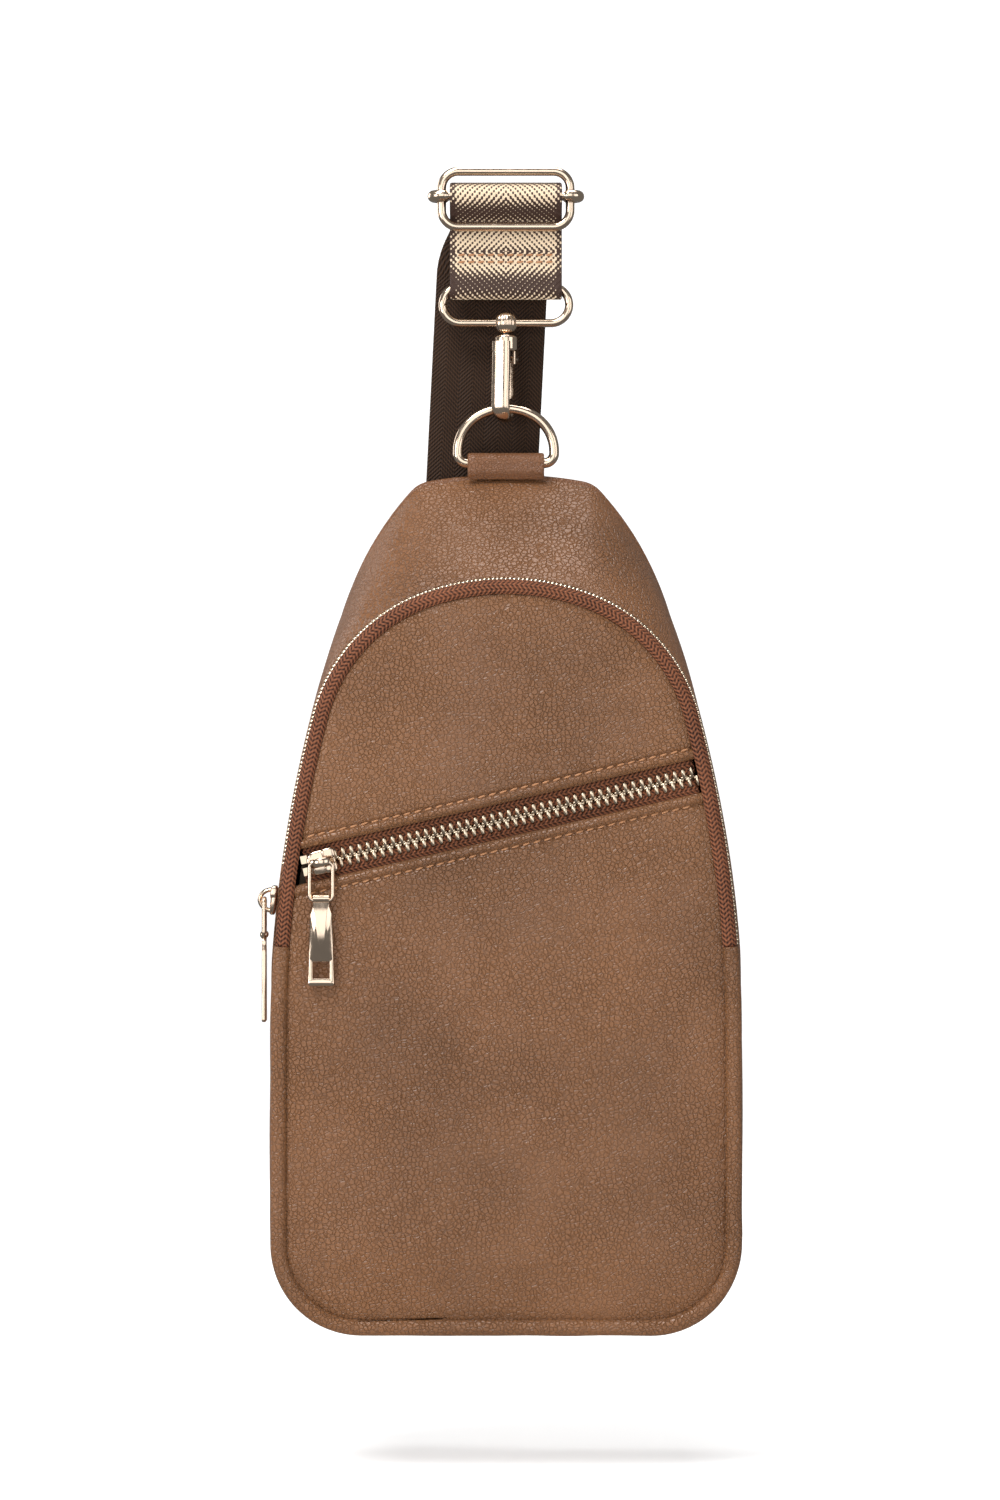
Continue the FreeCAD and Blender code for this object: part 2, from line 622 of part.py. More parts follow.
def rounded_loop(wide, tall, corner, to_world):
    """Edges of a rounded rectangle centred on its own origin, mapped by to_world(across, up)."""
    half_w, half_t = wide / 2, tall / 2
    diag = corner * (1 - math.sqrt(0.5))
    spots = [
        ((-half_w + corner, -half_t), (half_w - corner, -half_t), (half_w - diag, -half_t + diag)),
        ((half_w, -half_t + corner), (half_w, half_t - corner), (half_w - diag, half_t - diag)),
        ((half_w - corner, half_t), (-half_w + corner, half_t), (-half_w + diag, half_t - diag)),
        ((-half_w, half_t - corner), (-half_w, -half_t + corner), (-half_w + diag, -half_t + diag)),
    ]
    edges = []
    for index, (start, end, bend) in enumerate(spots):
        following = spots[(index + 1) % 4][0]
        if math.dist(start, end) > 1e-6:
            edges.append(Part.LineSegment(to_world(*start), to_world(*end)).toShape())
        edges.append(Part.Arc(to_world(*end), to_world(*bend), to_world(*following)).toShape())
    return edges


def bail_edges():
    """Path of the wire bail in the plane of x and z: two inward pins at z 0, legs, and a bar at the bottom."""
    tall, half = dim("bail_tall"), dim("bail_wide") / 2
    corner, pin = 1.6, dim("bail_pin")
    diag = corner * (1 - math.sqrt(0.5))

    def turn(x, z, way_x, way_z):
        """Quarter bend at a corner of the loop, from one leg to the next."""
        return Part.Arc(
            Vector(x + way_x[0] * corner, 0, z + way_x[1] * corner),
            Vector(x + (way_x[0] + way_z[0]) * diag, 0, z + (way_x[1] + way_z[1]) * diag),
            Vector(x + way_z[0] * corner, 0, z + way_z[1] * corner),
        ).toShape()

    def line(x0, z0, x1, z1):
        """Straight stretch of the wire."""
        return Part.LineSegment(Vector(x0, 0, z0), Vector(x1, 0, z1)).toShape()

    return [
        line(-half + corner + pin, 0, -half + corner, 0),
        turn(-half, 0, (1, 0), (0, -1)),
        line(-half, -corner, -half, -tall + corner),
        turn(-half, -tall, (0, 1), (1, 0)),
        line(-half + corner, -tall, half - corner, -tall),
        turn(half, -tall, (-1, 0), (0, 1)),
        line(half, -tall + corner, half, -corner),
        turn(half, 0, (0, -1), (-1, 0)),
        line(half - corner, 0, half - corner - pin, 0),
    ]


def make_bail(name, place):
    """A wire bail under its own placement."""
    bail = swept(name, bail_edges(), "Dims.bail_wire", False)
    bail.Placement = place
    return keep(bail, name)


def pull_shape():
    """Puller plate: neck on top with a barrel that turns on the bail, and a square window below."""
    wide, neck, long = dim("pull_wide"), dim("pull_neck"), dim("pull_long")
    thick, window, wire = dim("pull_thick"), dim("pull_window"), dim("bail_wire")
    rise, shoulder = 2.0, 4.4
    corners = [
        (-neck / 2, rise), (neck / 2, rise), (neck / 2, -shoulder + 1.6), (wide / 2, -shoulder),
        (wide / 2, rise - long), (-wide / 2, rise - long), (-wide / 2, -shoulder), (-neck / 2, -shoulder + 1.6),
    ]
    points = [Vector(x, -thick / 2, z) for x, z in corners]
    plate = Part.Face(Part.makePolygon(points + points[:1])).extrude(Vector(0, thick, 0))
    low = rise - long + 2.0
    plate = plate.cut(Part.makeBox(window, 4, window, Vector(-window / 2, -2, low)))
    barrel = Part.makeCylinder(wire + 1.0, neck, Vector(-neck / 2, 0, 0), Vector(1, 0, 0))
    hole = Part.makeCylinder(wire + dim("pin_play"), neck + 2, Vector(-neck / 2 - 1, 0, 0), Vector(1, 0, 0))
    return plate.fuse(barrel).cut(hole).removeSplitter()


def frame_placement(origin, x_way, z_way):
    """Placement that carries local x and z axes onto given directions."""
    x_way, z_way = Vector(x_way).normalize(), Vector(z_way).normalize()
    y_way = z_way.cross(x_way)
    matrix = FreeCAD.Matrix(
        x_way.x, y_way.x, z_way.x, origin.x,
        x_way.y, y_way.y, z_way.y, origin.y,
        x_way.z, y_way.z, z_way.z, origin.z,
        0, 0, 0, 1,
    )
    return Placement(matrix)


def make_pocket_puller():
    """Slider, bail and puller of the pocket zip; the slider rests at the zip's left end."""
    _, way, _ = front_frame()
    middle_y = dim("front_plane") + dim("pocket_row")
    spot = along_zip(dim("pocket_rest"), 0.0, middle_y)
    tilt = math.degrees(math.asin(way.z))
    feature("pocket_slider", slider_shape(90.0 - tilt), frame_placement(spot, way, Vector(0, -1, 0)))
    hang = spot - Vector(0, pin_reach(), 0)
    make_bail("pocket_bail", Placement(hang, Rotation()))
    bar = hang - Vector(0, 0, dim("bail_tall"))
    feature("pocket_pull", pull_shape(), Placement(bar, Rotation()))
    return hang, way


def side_arc():
    """Centre and radius of the long arc on the left of the front outline."""
    side = dim("side_turn")
    arcs = outline_chain(
        dim("front_width"), dim("front_base"), dim("front_height"), dim("front_corner"),
        dim("front_straight"), (side, 27.5, 27.5, 90.0 - side - 55.0), (58.0, 58.0),
    )
    radius = arcs[0][0]
    level = dim("front_base") + dim("front_corner") + dim("front_straight")
    return Vector(radius - dim("front_width") / 2, 0, height(level)), radius


def make_main_puller():
    """Slider, bail and puller of the main zip; the slider rests low on the left side."""
    centre, radius = side_arc()
    inset = dim("tooth_thick") / 2
    rise = math.asin((height(dim("main_rest")) - centre.z) / radius)
    out = Vector(-math.cos(rise), 0, math.sin(rise))
    spot = centre + out * (radius - inset)
    spot = Vector(spot.x, dim("front_plane") + dim("mouth_deep"), spot.z)
    way = Vector(math.sin(rise), 0, math.cos(rise))
    feature("main_slider", slider_shape(0.0), frame_placement(spot, way, out))
    hang = spot + out * pin_reach()
    turn = Rotation(Vector(0, 0, 1), 90.0)
    make_bail("main_bail", Placement(hang, turn))
    bar = hang - Vector(0, 0, dim("bail_tall"))
    feature("main_pull", pull_shape(), Placement(bar, turn))
    return hang, centre, math.degrees(rise)


# ---------------------------------------------------------------- top hardware


def make_adjuster():
    """Strap adjuster: a round-cornered wire frame with a centre bar curled around its sides."""
    wire, y = dim("frame_wire"), dim("frame_y")
    wide, tall = dim("frame_wide") - 2 * wire, dim("frame_tall") - 2 * wire
    middle = wire - tall / 2
    edges = rounded_loop(wide, tall, dim("frame_corner"), lambda a, b: Vector(a, y, middle + b))
    keep(swept("adjuster_frame", edges, "Dims.frame_wire", True), "adjuster_frame")
    rod = cross_cylinder("adjuster_rod", "Dims.bar_wire", "2 * Dims.rod_half", "Dims.frame_y", "Dims.bar_z")
    pieces = [rod]
    for side, name in (("-", "left"), ("", "right")):
        spot = (side + "(Dims.frame_wide / 2 - Dims.frame_wire)", "Dims.frame_y", "Dims.bar_z - Dims.curl_tall / 2")
        outer = cylinder_object(
            "curl_%s_outer" % name, Placement(),
            Radius="Dims.frame_wire + Dims.curl_thick + 0.05", Height="Dims.curl_tall",
        )
        bore = cylinder_object(
            "curl_%s_bore" % name, Placement(), Radius="Dims.frame_wire + 0.05", Height="Dims.curl_tall"
        )
        pieces.append(cut("curl_%s" % name, place_at(outer, *spot), place_at(bore, *spot)))
    joined = DOC.addObject("Part::MultiFuse", "adjuster_bar")
    joined.Shapes = pieces
    keep(joined, "adjuster_bar")


def make_eye():
    """Hook eye: a long oval wire ring with the swivel ball on its lower bar, and the swivel pin."""
    tall = dim("eye_top") - dim("eye_low")
    middle = (dim("eye_top") + dim("eye_low")) / 2
    edges = rounded_loop(dim("eye_wide"), tall, tall / 2 - 0.01, lambda a, b: Vector(a, 0, middle + b))
    ring = swept("eye_ring", edges, "Dims.eye_wire", True)
    ball = DOC.addObject("Part::Sphere", "swivel_ball")
    bind(ball, Radius="Dims.ball")
    place_at(ball, z="Dims.eye_low")
    joined = DOC.addObject("Part::Fuse", "hook_eye")
    joined.Base, joined.Tool = ring, ball
    keep(joined, "hook_eye")
    pin = cylinder_object(
        "swivel_pin", Placement(),
        Radius="Dims.swivel_pin", Height="Dims.eye_low - Dims.ball - Dims.collar_low - 0.8 + 0.12",
    )
    keep(place_at(pin, z="Dims.collar_low + 0.8"), "swivel_pin")


def hook_ways():
    """Horizontal unit vectors: from the hook's spine to its gate, and along its pins."""
    turn = math.radians(dim("hook_turn"))
    across = Vector(math.sin(turn), math.cos(turn), 0)
    return across, Vector(0, 0, 1).cross(across)


def make_hook():
    """Swivel snap hook: collar, spine and bend, with a sprung gate, its pin and its spring."""
    across, along = hook_ways()
    radius, wire, level = dim("throat"), dim("hook_wire"), dim("throat_z")
    top, low = dim("collar_top"), dim("collar_low")
    collar = Part.makeCylinder(dim("collar"), top - low, Vector(0, 0, low))
    bore = Part.makeCylinder(dim("swivel_pin") + dim("swivel_play"), top - low + 2, Vector(0, 0, low - 1))
    spine_wide, spine_thick = dim("spine_wide"), dim("spine_thick")
    base = across * (-radius - spine_thick / 2) - along * (spine_wide / 2)
    spine = Part.makeBox(spine_thick, spine_wide, low + 1.5 - level, Vector(0, 0, 0))
    spine = spine.makeFillet(0.8, [e for e in spine.Edges if abs(e.tangentAt(0).z) > 0.9])
    spine.Placement = frame_placement(Vector(base.x, base.y, level), across, Vector(0, 0, 1))
    spots = [
        across * (-radius) + Vector(0, 0, level),
        Vector(0, 0, level - radius),
        across * radius + Vector(0, 0, level),
    ]
    bend = Part.Wire([Part.Arc(*spots).toShape(), Part.LineSegment(spots[2], spots[2] + Vector(0, 0, 0.6)).toShape()])
    section = Part.Wire([Part.makeCircle(wire, spots[0], Vector(0, 0, -1))])
    hook = bend.makePipeShell([section], True, False)
    nose = Part.makeSphere(wire, spots[2] + Vector(0, 0, 0.6))
    pin_level = low - 2.6
    ears = []
    for side in (-1, 1):
        offset = across * (radius - 2.6) + along * (side * 2.3 - 0.5)
        ear = Part.makeBox(dim("ear_wide"), 1.0, dim("ear_tall"))
        ear.Placement = frame_placement(Vector(offset.x, offset.y, low - 4.4), across, Vector(0, 0, 1))
        ears.append(ear)
    hinge = across * (radius - 0.6) + Vector(0, 0, pin_level)
    hole = Part.makeCylinder(0.6, 8.0, hinge - along * 4.0, along)
    body = collar.fuse([spine, hook, nose] + ears).cut(bore).cut(hole).removeSplitter()
    feature("hook_body", body)
    feature("gate_pin", Part.makeCylinder(0.6 - 0.02, 5.4, hinge - along * 2.7, along))
    tip = level + 2.6
    gate = Part.makeBox(1.3, 2.6, pin_level + 1.2 - tip)
    spot = across * (radius - 1.25) - along * 1.3
    gate.Placement = frame_placement(Vector(spot.x, spot.y, tip), across, Vector(0, 0, 1))
    gate = gate.fuse(Part.makeCylinder(1.3, 2.6, hinge - along * 1.3, along))
    gate = gate.cut(Part.makeCylinder(0.6 + dim("swivel_play"), 8.0, hinge - along * 4.0, along))
    feature("hook_gate", gate.removeSplitter())
    seat = across * (radius - 3.3) + Vector(0, 0, pin_level)
    feature("gate_spring", Part.makeCylinder(0.5, 2.2, seat - along * 1.1, along))
    return hinge, along


def make_d_ring():
    """D-ring: straight bar below, flattened arch above."""
    half, top, low = dim("ring_wide") / 2, dim("ring_top"), dim("ring_bar")
    corner, crown, shoulder = dim("ring_corner"), dim("ring_crown"), dim("ring_shoulder")
    side, diag = low + corner, corner * (1 - math.sqrt(0.5))
    lean = math.asin((half - shoulder) / (crown - shoulder))
    centre = Vector(0, 0, top - crown)
    hub = centre + Vector(math.sin(lean), 0, math.cos(lean)) * (crown - shoulder)

    def around(middle, radius, angle):
        """Point of a circle in the plane of x and z, its angle from +z towards +x."""
        return middle + Vector(radius * math.sin(angle), 0, radius * math.cos(angle))

    quarter = math.pi / 2
    right = [
        Part.Arc(Vector(half - corner, 0, low), Vector(half - diag, 0, low + diag), Vector(half, 0, side)),
        Part.LineSegment(Vector(half, 0, side), around(hub, shoulder, quarter)),
        Part.Arc(*[around(hub, shoulder, a) for a in (quarter, (quarter + lean) / 2, lean)]),
        Part.Arc(*[around(centre, crown, a) for a in (lean, lean / 2, 0.0)]),
    ]
    bar = Part.LineSegment(Vector(-half + corner, 0, low), Vector(half - corner, 0, low))
    edges = [bar.toShape()] + [curve.toShape() for curve in right]
    edges += [mirror_edge(curve.toShape(), 0.0) for curve in reversed(right)]
    keep(swept("d_ring", edges, "Dims.ring_wire", True), "d_ring")


def make_tab():
    """Upper tab: a loop around the D-ring's bar with a sewn tail below it on the back panel."""
    inner = "Dims.ring_wire + Dims.tab_play"
    loop = cross_cylinder("tab_loop", inner + " + Dims.tab_thick", "Dims.tab_wide", z="Dims.ring_bar")
    corner = ("-Dims.tab_wide / 2", inner, "Dims.ring_bar - Dims.tab_long")
    tail = block("tab_tail", corner, ("Dims.tab_wide", "Dims.tab_thick", "Dims.tab_long"))
    hole = cross_cylinder("tab_hole", inner, "Dims.tab_wide + 2", z="Dims.ring_bar")
    solid = cut("tab_blank", fuse("tab_body", [loop, tail]), hole)
    keep(fuse_one("d_ring_tab", solid), "d_ring_tab")


def run_place(z):
    """Sideways position of the strap runs at a height."""
    return dim("run_shift") + math.tan(math.radians(dim("run_lean"))) * z


def leaned(item, z, depth):
    """Set a finished piece on the leaning line of the rear strap runs."""
    item.Placement = Placement(Vector(run_place(z), depth, z), Rotation(Vector(0, 1, 0), dim("run_lean")))
    return item


def rear_depth():
    """Depth of the middle of the rear strap, between its inner and outer runs."""
    return (dim("run_inner") + dim("run_outer") + dim("web_thick")) / 2


def make_lower_anchor():
    """Lower ring and its tab on the back panel."""
    top, low = dim("low_ring_top"), dim("low_ring_bar")
    edges = rounded_loop(dim("low_ring_wide"), top - low, 3.0, lambda a, b: Vector(a, 0, b))
    ring = swept("lower_ring", edges, "Dims.low_ring_wire", True)
    keep(leaned(ring, (top + low) / 2, rear_depth()), "lower_ring")
    inner = "Dims.low_ring_wire + Dims.tab_play"
    thick, wide = "Dims.tab_thick", "Dims.low_tab_wide"
    front = "Dims.back_face - (Dims.run_inner + Dims.run_outer + Dims.web_thick) / 2"
    corner = ("-Dims.low_tab_wide / 2", front, "-(%s) - Dims.tab_thick" % inner)
    loop = cross_cylinder("low_tab_loop", "%s + %s" % (inner, thick), wide)
    web = block("low_tab_web", corner, (wide, "-(%s)" % front, thick))
    foot = block("low_tab_foot", corner, (wide, thick, "Dims.low_tab_long"))
    hole = cross_cylinder("low_tab_hole", inner, wide + " + 2")
    tab = fuse_one("lower_tab", cut("low_tab_blank", fuse("low_tab_body", [loop, web, foot]), hole))
    keep(leaned(tab, low, rear_depth()), "lower_tab")


# ---------------------------------------------------------------- strap


def webbing(points):
    """Flat section of webbing along a polyline of y and z: the line is one face, offset to its left."""
    thick = dim("web_thick")
    left, right = [], []
    count = len(points)
    for index, (y, z) in enumerate(points):
        before = points[max(index - 1, 0)]
        after = points[min(index + 1, count - 1)]
        ways = []
        if index > 0:
            ways.append((y - before[0], z - before[1]))
        if index < count - 1:
            ways.append((after[0] - y, after[1] - z))
        units = [(a / math.hypot(a, b), b / math.hypot(a, b)) for a, b in ways]
        mean = (sum(u[0] for u in units), sum(u[1] for u in units))
        size = math.hypot(*mean)
        mean = (mean[0] / size, mean[1] / size)
        spread = thick / max(0.3, mean[0] * units[0][0] + mean[1] * units[0][1])
        left.append((y - mean[1] * spread, z + mean[0] * spread))
        right.append((y, z))
    return polygon([Vector(0, y, z) for y, z in right + left[::-1]])


def circle_points(y, z, radius, start, end, count):
    """Points on a circle in the plane of y and z, angles in degrees from +y towards +z."""
    spots = []
    for index in range(count + 1):
        angle = math.radians(start + (end - start) * index / count)
        spots.append((y + radius * math.cos(angle), z + radius * math.sin(angle)))
    return spots


def make_eye_loop():
    """The strap's loop through the hook eye, with both of its sewn ends, and the row of stitches."""
    eye, thick = dim("eye_wire") + dim("eye_play"), dim("web_thick")
    centre, seam = dim("eye_top") - dim("eye_sag"), dim("seam_top")
    inner, low = "Dims.eye_wire + Dims.eye_play", "Dims.eye_top - Dims.eye_sag"
    wide = "Dims.web_wide"
    loop = cross_cylinder("eye_loop_outer", inner + " + Dims.web_thick", wide, z=low)
    hole = cross_cylinder("eye_loop_inner", inner, wide + " + 2", z=low)
    upper = block("eye_loop_upper", ("-Dims.web_wide / 2 - 1", "-10", low), (wide + " + 2", "20", "20"))
    turn = cut("eye_loop_turn", cut("eye_loop_ring", loop, hole), upper)
    corner = ("-Dims.web_wide / 2", "-(%s) - Dims.web_thick" % inner, low)
    front = block("eye_loop_front", corner, (wide, "Dims.web_thick", "Dims.seam_top - (%s)" % low))
    lap = -eye + thick + 0.1
    path = [(eye + thick, centre), (eye + thick, centre + 2.0), (lap, seam - 4.0), (lap, seam)]
    back = across("eye_loop_back", webbing(path), wide)
    keep(fuse("strap_eye_loop", [turn, front, back]), "strap_eye_loop")
    stitches = []
    for index in range(9):
        corner = (
            "-16.4 + %d * 3.9" % index, "-(%s) - Dims.web_thick - Dims.stitch_deep" % inner, "Dims.seam_top - 1.4"
        )
        sizes = ("Dims.stitch_long", "Dims.stitch_deep", "Dims.stitch_wide")
        stitches.append(block("stitch_%d" % index, corner, sizes))
    joined = DOC.addObject("Part::Compound", "strap_stitches")
    joined.Links = stitches
    keep(joined, "strap_stitches")


def make_bar_wraps():
    """Front leg, the wrap over the centre bar, and the strap's sewn end under the wrap."""
    bar_y, bar_z = dim("frame_y"), dim("bar_z")
    eye = dim("eye_wire") + dim("eye_play")
    sewn = dim("bar_wire") + dim("wrap_play")
    wrap = sewn + dim("web_thick") + 0.15
    leg = webbing([(-eye, dim("seam_top") + 0.1), (-eye, dim("leg_top"))])
    keep(across("strap_front_leg", leg, "Dims.web_wide"), "strap_front_leg")
    # the wrap rises behind the frame's lower bar and crosses to the front of the centre bar
    over = [(-eye, dim("leg_top") + 0.3), (-eye, -14.6)]
    over += circle_points(bar_y, bar_z, wrap, 212.0, 80.0, 8)
    over += [(bar_y + wrap + 4.0, bar_z - 0.5), (dim("run_outer"), dim("rear_top") + 1.3)]
    keep(across("strap_bar_wrap", webbing(over), "Dims.web_wide"), "strap_bar_wrap")
    under = [(bar_y + 3.5, bar_z - 5.0)]
    under += circle_points(bar_y, bar_z, sewn, 290.0, -20.0, 12)
    under += [(dim("run_inner"), dim("rear_top") + 1.3)]
    keep(across("strap_sewn_end", webbing(under), "Dims.web_wide"), "strap_sewn_end")


def make_rear_runs():
    """The inner and outer runs behind the bag, in two stretches each, and the turn below."""
    wide, thick = "Dims.web_wide", "Dims.web_thick"
    split, low = dim("run_split"), dim("low_ring_top")
    stretches = (
        ("upper", split + 0.2, "Dims.rear_top - Dims.run_split - 0.2"),
        ("lower", low + 4.0, "Dims.run_split - Dims.low_ring_top - 4.2"),
    )
    for name in ("inner", "outer"):
        for part, start, length in stretches:
            label = "strap_%s_%s" % (name, part)
            web = block(label + "_web", ("-Dims.web_wide / 2", "0", "0"), (wide, thick, length))
            keep(leaned(fuse_one(label, web), start, dim("run_" + name)), label)
    inner = "Dims.low_ring_wire + Dims.wrap_play"
    outer = cross_cylinder("ring_turn_outer", inner + " + Dims.web_thick", wide)
    hole = cross_cylinder("ring_turn_inner", inner, wide + " + 2")
    upper = block("ring_turn_upper", ("-Dims.web_wide / 2 - 1", "-10", "0.6"), (wide + " + 2", "20", "20"))
    turn = cut("strap_ring_turn", cut("ring_turn_hoop", outer, hole), upper)
    keep(leaned(turn, low, rear_depth()), "strap_ring_turn")


# ---------------------------------------------------------------- build and export


def main():
    """Build every sub-part, check it and write one STEP file for each node."""
    make_walls()
    make_back()
    make_front()
    make_main_zip()
    make_pocket_zip()
    pocket_pin, pocket_way = make_pocket_puller()
    hang, centre, rise = make_main_puller()
    make_adjuster()
    make_eye()
    hinge, along = make_hook()
    make_d_ring()
    make_tab()
    make_lower_anchor()
    make_eye_loop()
    make_bar_wraps()
    make_rear_runs()
    DOC.recompute()
    os.makedirs("parts", exist_ok=True)
    for old in os.listdir("parts"):
        os.remove(os.path.join("parts", old))
    for item in DOC.Objects:
        if "Invalid" in item.State or "Error" in item.State:
            raise RuntimeError("%s failed to build: %s" % (item.Label, item.State))
    for item in PIECES:
        shape = item.Shape
        if shape.isNull() or not shape.isValid() or shape.Volume <= 0:
            raise RuntimeError("%s has no valid shape" % item.Label)
        shape.exportStep(os.path.join("parts", item.Label + ".step"))
        print("%-24s %9.1f mm3, %d solids" % (item.Label, shape.Volume, len(shape.Solids)))
    print("main bail pin", hang, "arc centre", centre, "rest angle", rise)
    print("pocket bail pin", pocket_pin, "zip direction", pocket_way)
    print("gate hinge", hinge, "axis", along)


main()
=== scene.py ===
"""Looks of the sling bag: grained leather shells, zips, webbing and plated hardware around the fixed frame.

Everything is in metres in the frame's own axes: +Z up, -Y towards the bag's front. Heights on the bag
count up from its base, and every surface is a function of two parameters worked out on a numpy grid.
"""

import logging
import math
from dataclasses import dataclass, field
from enum import Enum

import bmesh
import bpy
import numpy as np
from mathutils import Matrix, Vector


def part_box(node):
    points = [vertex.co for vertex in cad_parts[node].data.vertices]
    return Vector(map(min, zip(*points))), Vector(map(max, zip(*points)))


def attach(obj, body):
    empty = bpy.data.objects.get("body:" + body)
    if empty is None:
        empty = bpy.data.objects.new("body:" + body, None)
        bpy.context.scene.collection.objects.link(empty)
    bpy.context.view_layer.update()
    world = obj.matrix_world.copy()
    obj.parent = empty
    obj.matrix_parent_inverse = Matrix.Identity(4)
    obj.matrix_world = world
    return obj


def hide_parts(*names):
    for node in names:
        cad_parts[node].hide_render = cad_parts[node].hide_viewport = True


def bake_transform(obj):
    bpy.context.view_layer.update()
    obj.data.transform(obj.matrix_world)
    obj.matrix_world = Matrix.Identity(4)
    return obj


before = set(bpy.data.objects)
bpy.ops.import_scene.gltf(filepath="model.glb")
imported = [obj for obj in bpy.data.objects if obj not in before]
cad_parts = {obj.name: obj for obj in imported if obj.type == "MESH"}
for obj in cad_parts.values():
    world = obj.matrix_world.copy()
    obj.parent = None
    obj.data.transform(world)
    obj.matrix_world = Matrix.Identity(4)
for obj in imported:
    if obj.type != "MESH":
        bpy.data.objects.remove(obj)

log = logging.getLogger("sling_bag")
MM = 0.001


# ------------------------------------------------------------------------------------ meshes


def new_object(name: str, points: np.ndarray, faces: np.ndarray, uv: np.ndarray | None = None,
               smooth: bool = True) -> bpy.types.Object:
    """Make a mesh object from arrays.

    Args:
        name: the piece's name.
        points: vertex places, (n, 3), in metres.
        faces: corner indices, (m, 4).
        uv: optional texture place of each vertex, (n, 2).
        smooth: whether the faces are shaded smooth.

    Returns:
        The new object, linked to the scene, at the origin.
    """
    mesh = bpy.data.meshes.new(name)
    count = len(faces)
    mesh.vertices.add(len(points))
    mesh.vertices.foreach_set("co", np.ascontiguousarray(points, np.float32).ravel())
    mesh.loops.add(count * 4)
    mesh.loops.foreach_set("vertex_index", np.ascontiguousarray(faces, np.int32).ravel())
    mesh.polygons.add(count)
    mesh.polygons.foreach_set("loop_start", np.arange(0, count * 4, 4, dtype=np.int32))
    mesh.polygons.foreach_set("use_smooth", np.full(count, smooth))
    if uv is not None:
        layer = mesh.uv_layers.new(name="UVMap")
        layer.data.foreach_set("uv", np.ascontiguousarray(uv[faces.ravel()], np.float32).ravel())
    mesh.update(calc_edges=True)
    mesh.validate()
    obj = bpy.data.objects.new(name, mesh)
    bpy.context.scene.collection.objects.link(obj)
    return obj


def grid_faces(rows: int, columns: int, close_rows: bool = False, close_columns: bool = False) -> np.ndarray:
    """Corner indices of the quads of a grid of rows by columns.

    Args:
        rows: number of stations along the first parameter.
        columns: number of stations along the second parameter.
        close_rows: join the last row to the first.
        close_columns: join the last column to the first.

    Returns:
        Corner indices, (m, 4), turning from the column direction to the row direction.
    """
    i, j = np.meshgrid(
        np.arange(rows if close_rows else rows - 1), np.arange(columns if close_columns else columns - 1),
        indexing="ij",
    )
    below, right = (i + 1) % rows, (j + 1) % columns
    corners = [i * columns + j, i * columns + right, below * columns + right, below * columns + j]
    return np.stack(corners, -1).reshape(-1, 4)


def grid_object(name: str, points: np.ndarray, close_rows: bool = False, close_columns: bool = False,
                uv: np.ndarray | None = None, flip: bool = False) -> bpy.types.Object:
    """Make an object from a grid of points.

    Args:
        name: the piece's name.
        points: (rows, columns, 3) places.
        close_rows: join the last row to the first.
        close_columns: join the last column to the first.
        uv: optional (rows, columns, 2) texture places.
        flip: turn the faces over.

    Returns:
        The new object.
    """
    rows, columns, _ = points.shape
    faces = grid_faces(rows, columns, close_rows, close_columns)
    if flip:
        faces = faces[:, ::-1]
    return new_object(name, points.reshape(-1, 3), faces, None if uv is None else uv.reshape(-1, 2))


def merge_poles(obj: bpy.types.Object, distance: float = 1e-6) -> bpy.types.Object:
    """Merge the points that meet at poles and seams, and point every face outwards."""
    work = bmesh.new()
    work.from_mesh(obj.data)
    bmesh.ops.remove_doubles(work, verts=work.verts, dist=distance)
    bmesh.ops.dissolve_degenerate(work, edges=work.edges, dist=distance)
    bmesh.ops.recalc_face_normals(work, faces=work.faces)
    work.to_mesh(obj.data)
    work.free()
    return obj


def travelled(path: np.ndarray) -> np.ndarray:
    """Length of a path from its start to each of its points."""
    return np.concatenate([[0.0], np.cumsum(np.linalg.norm(np.diff(path, axis=0), axis=1))])


def arc(a: float, b: float, radius: float, turn: np.ndarray) -> np.ndarray:
    """Points of a circle round (a, b): centre + radius * (cos, sin) of the turn."""
    return np.stack([a + radius * np.cos(turn), b + radius * np.sin(turn)], -1)


def unit(vectors: np.ndarray) -> np.ndarray:
    """Vectors of length one along the last axis."""
    return vectors / np.maximum(np.linalg.norm(vectors, axis=-1, keepdims=True), 1e-12)


def tangents(path: np.ndarray, closed: bool) -> np.ndarray:
    """Unit tangents of a path: the difference of the points on either side of each one."""
    if closed:
        return unit(np.roll(path, -1, 0) - np.roll(path, 1, 0))
    return unit(np.gradient(path, axis=0))


def carried(path: np.ndarray, profile: np.ndarray, across: np.ndarray, closed: bool) -> np.ndarray:
    """Carry a flat profile along a path.

    Formula: point = path + profile_a * across + profile_b * (tangent x across), with across made square
    to the tangent.

    Args:
        path: (n, 3) places.
        profile: (m, 2) or (n, m, 2) offsets in metres.
        across: (3,) or (n, 3) direction of the profile's first axis.
        closed: whether the path joins up.

    Returns:
        (n, m, 3) points.
    """
    along = tangents(path, closed)
    side = np.broadcast_to(across, path.shape)
    side = unit(side - (side * along).sum(-1, keepdims=True) * along)
    up = np.cross(along, side)
    profile = np.broadcast_to(profile, (len(path),) + profile.shape[-2:])
    return path[:, None] + profile[..., :1] * side[:, None] + profile[..., 1:] * up[:, None]


def circle_profile(radius: float, sides: int) -> np.ndarray:
    """A round profile: radius times (cos, sin) of even angles."""
    angle = np.linspace(0, 2 * np.pi, sides, endpoint=False)
    return radius * np.stack([np.cos(angle), np.sin(angle)], -1)


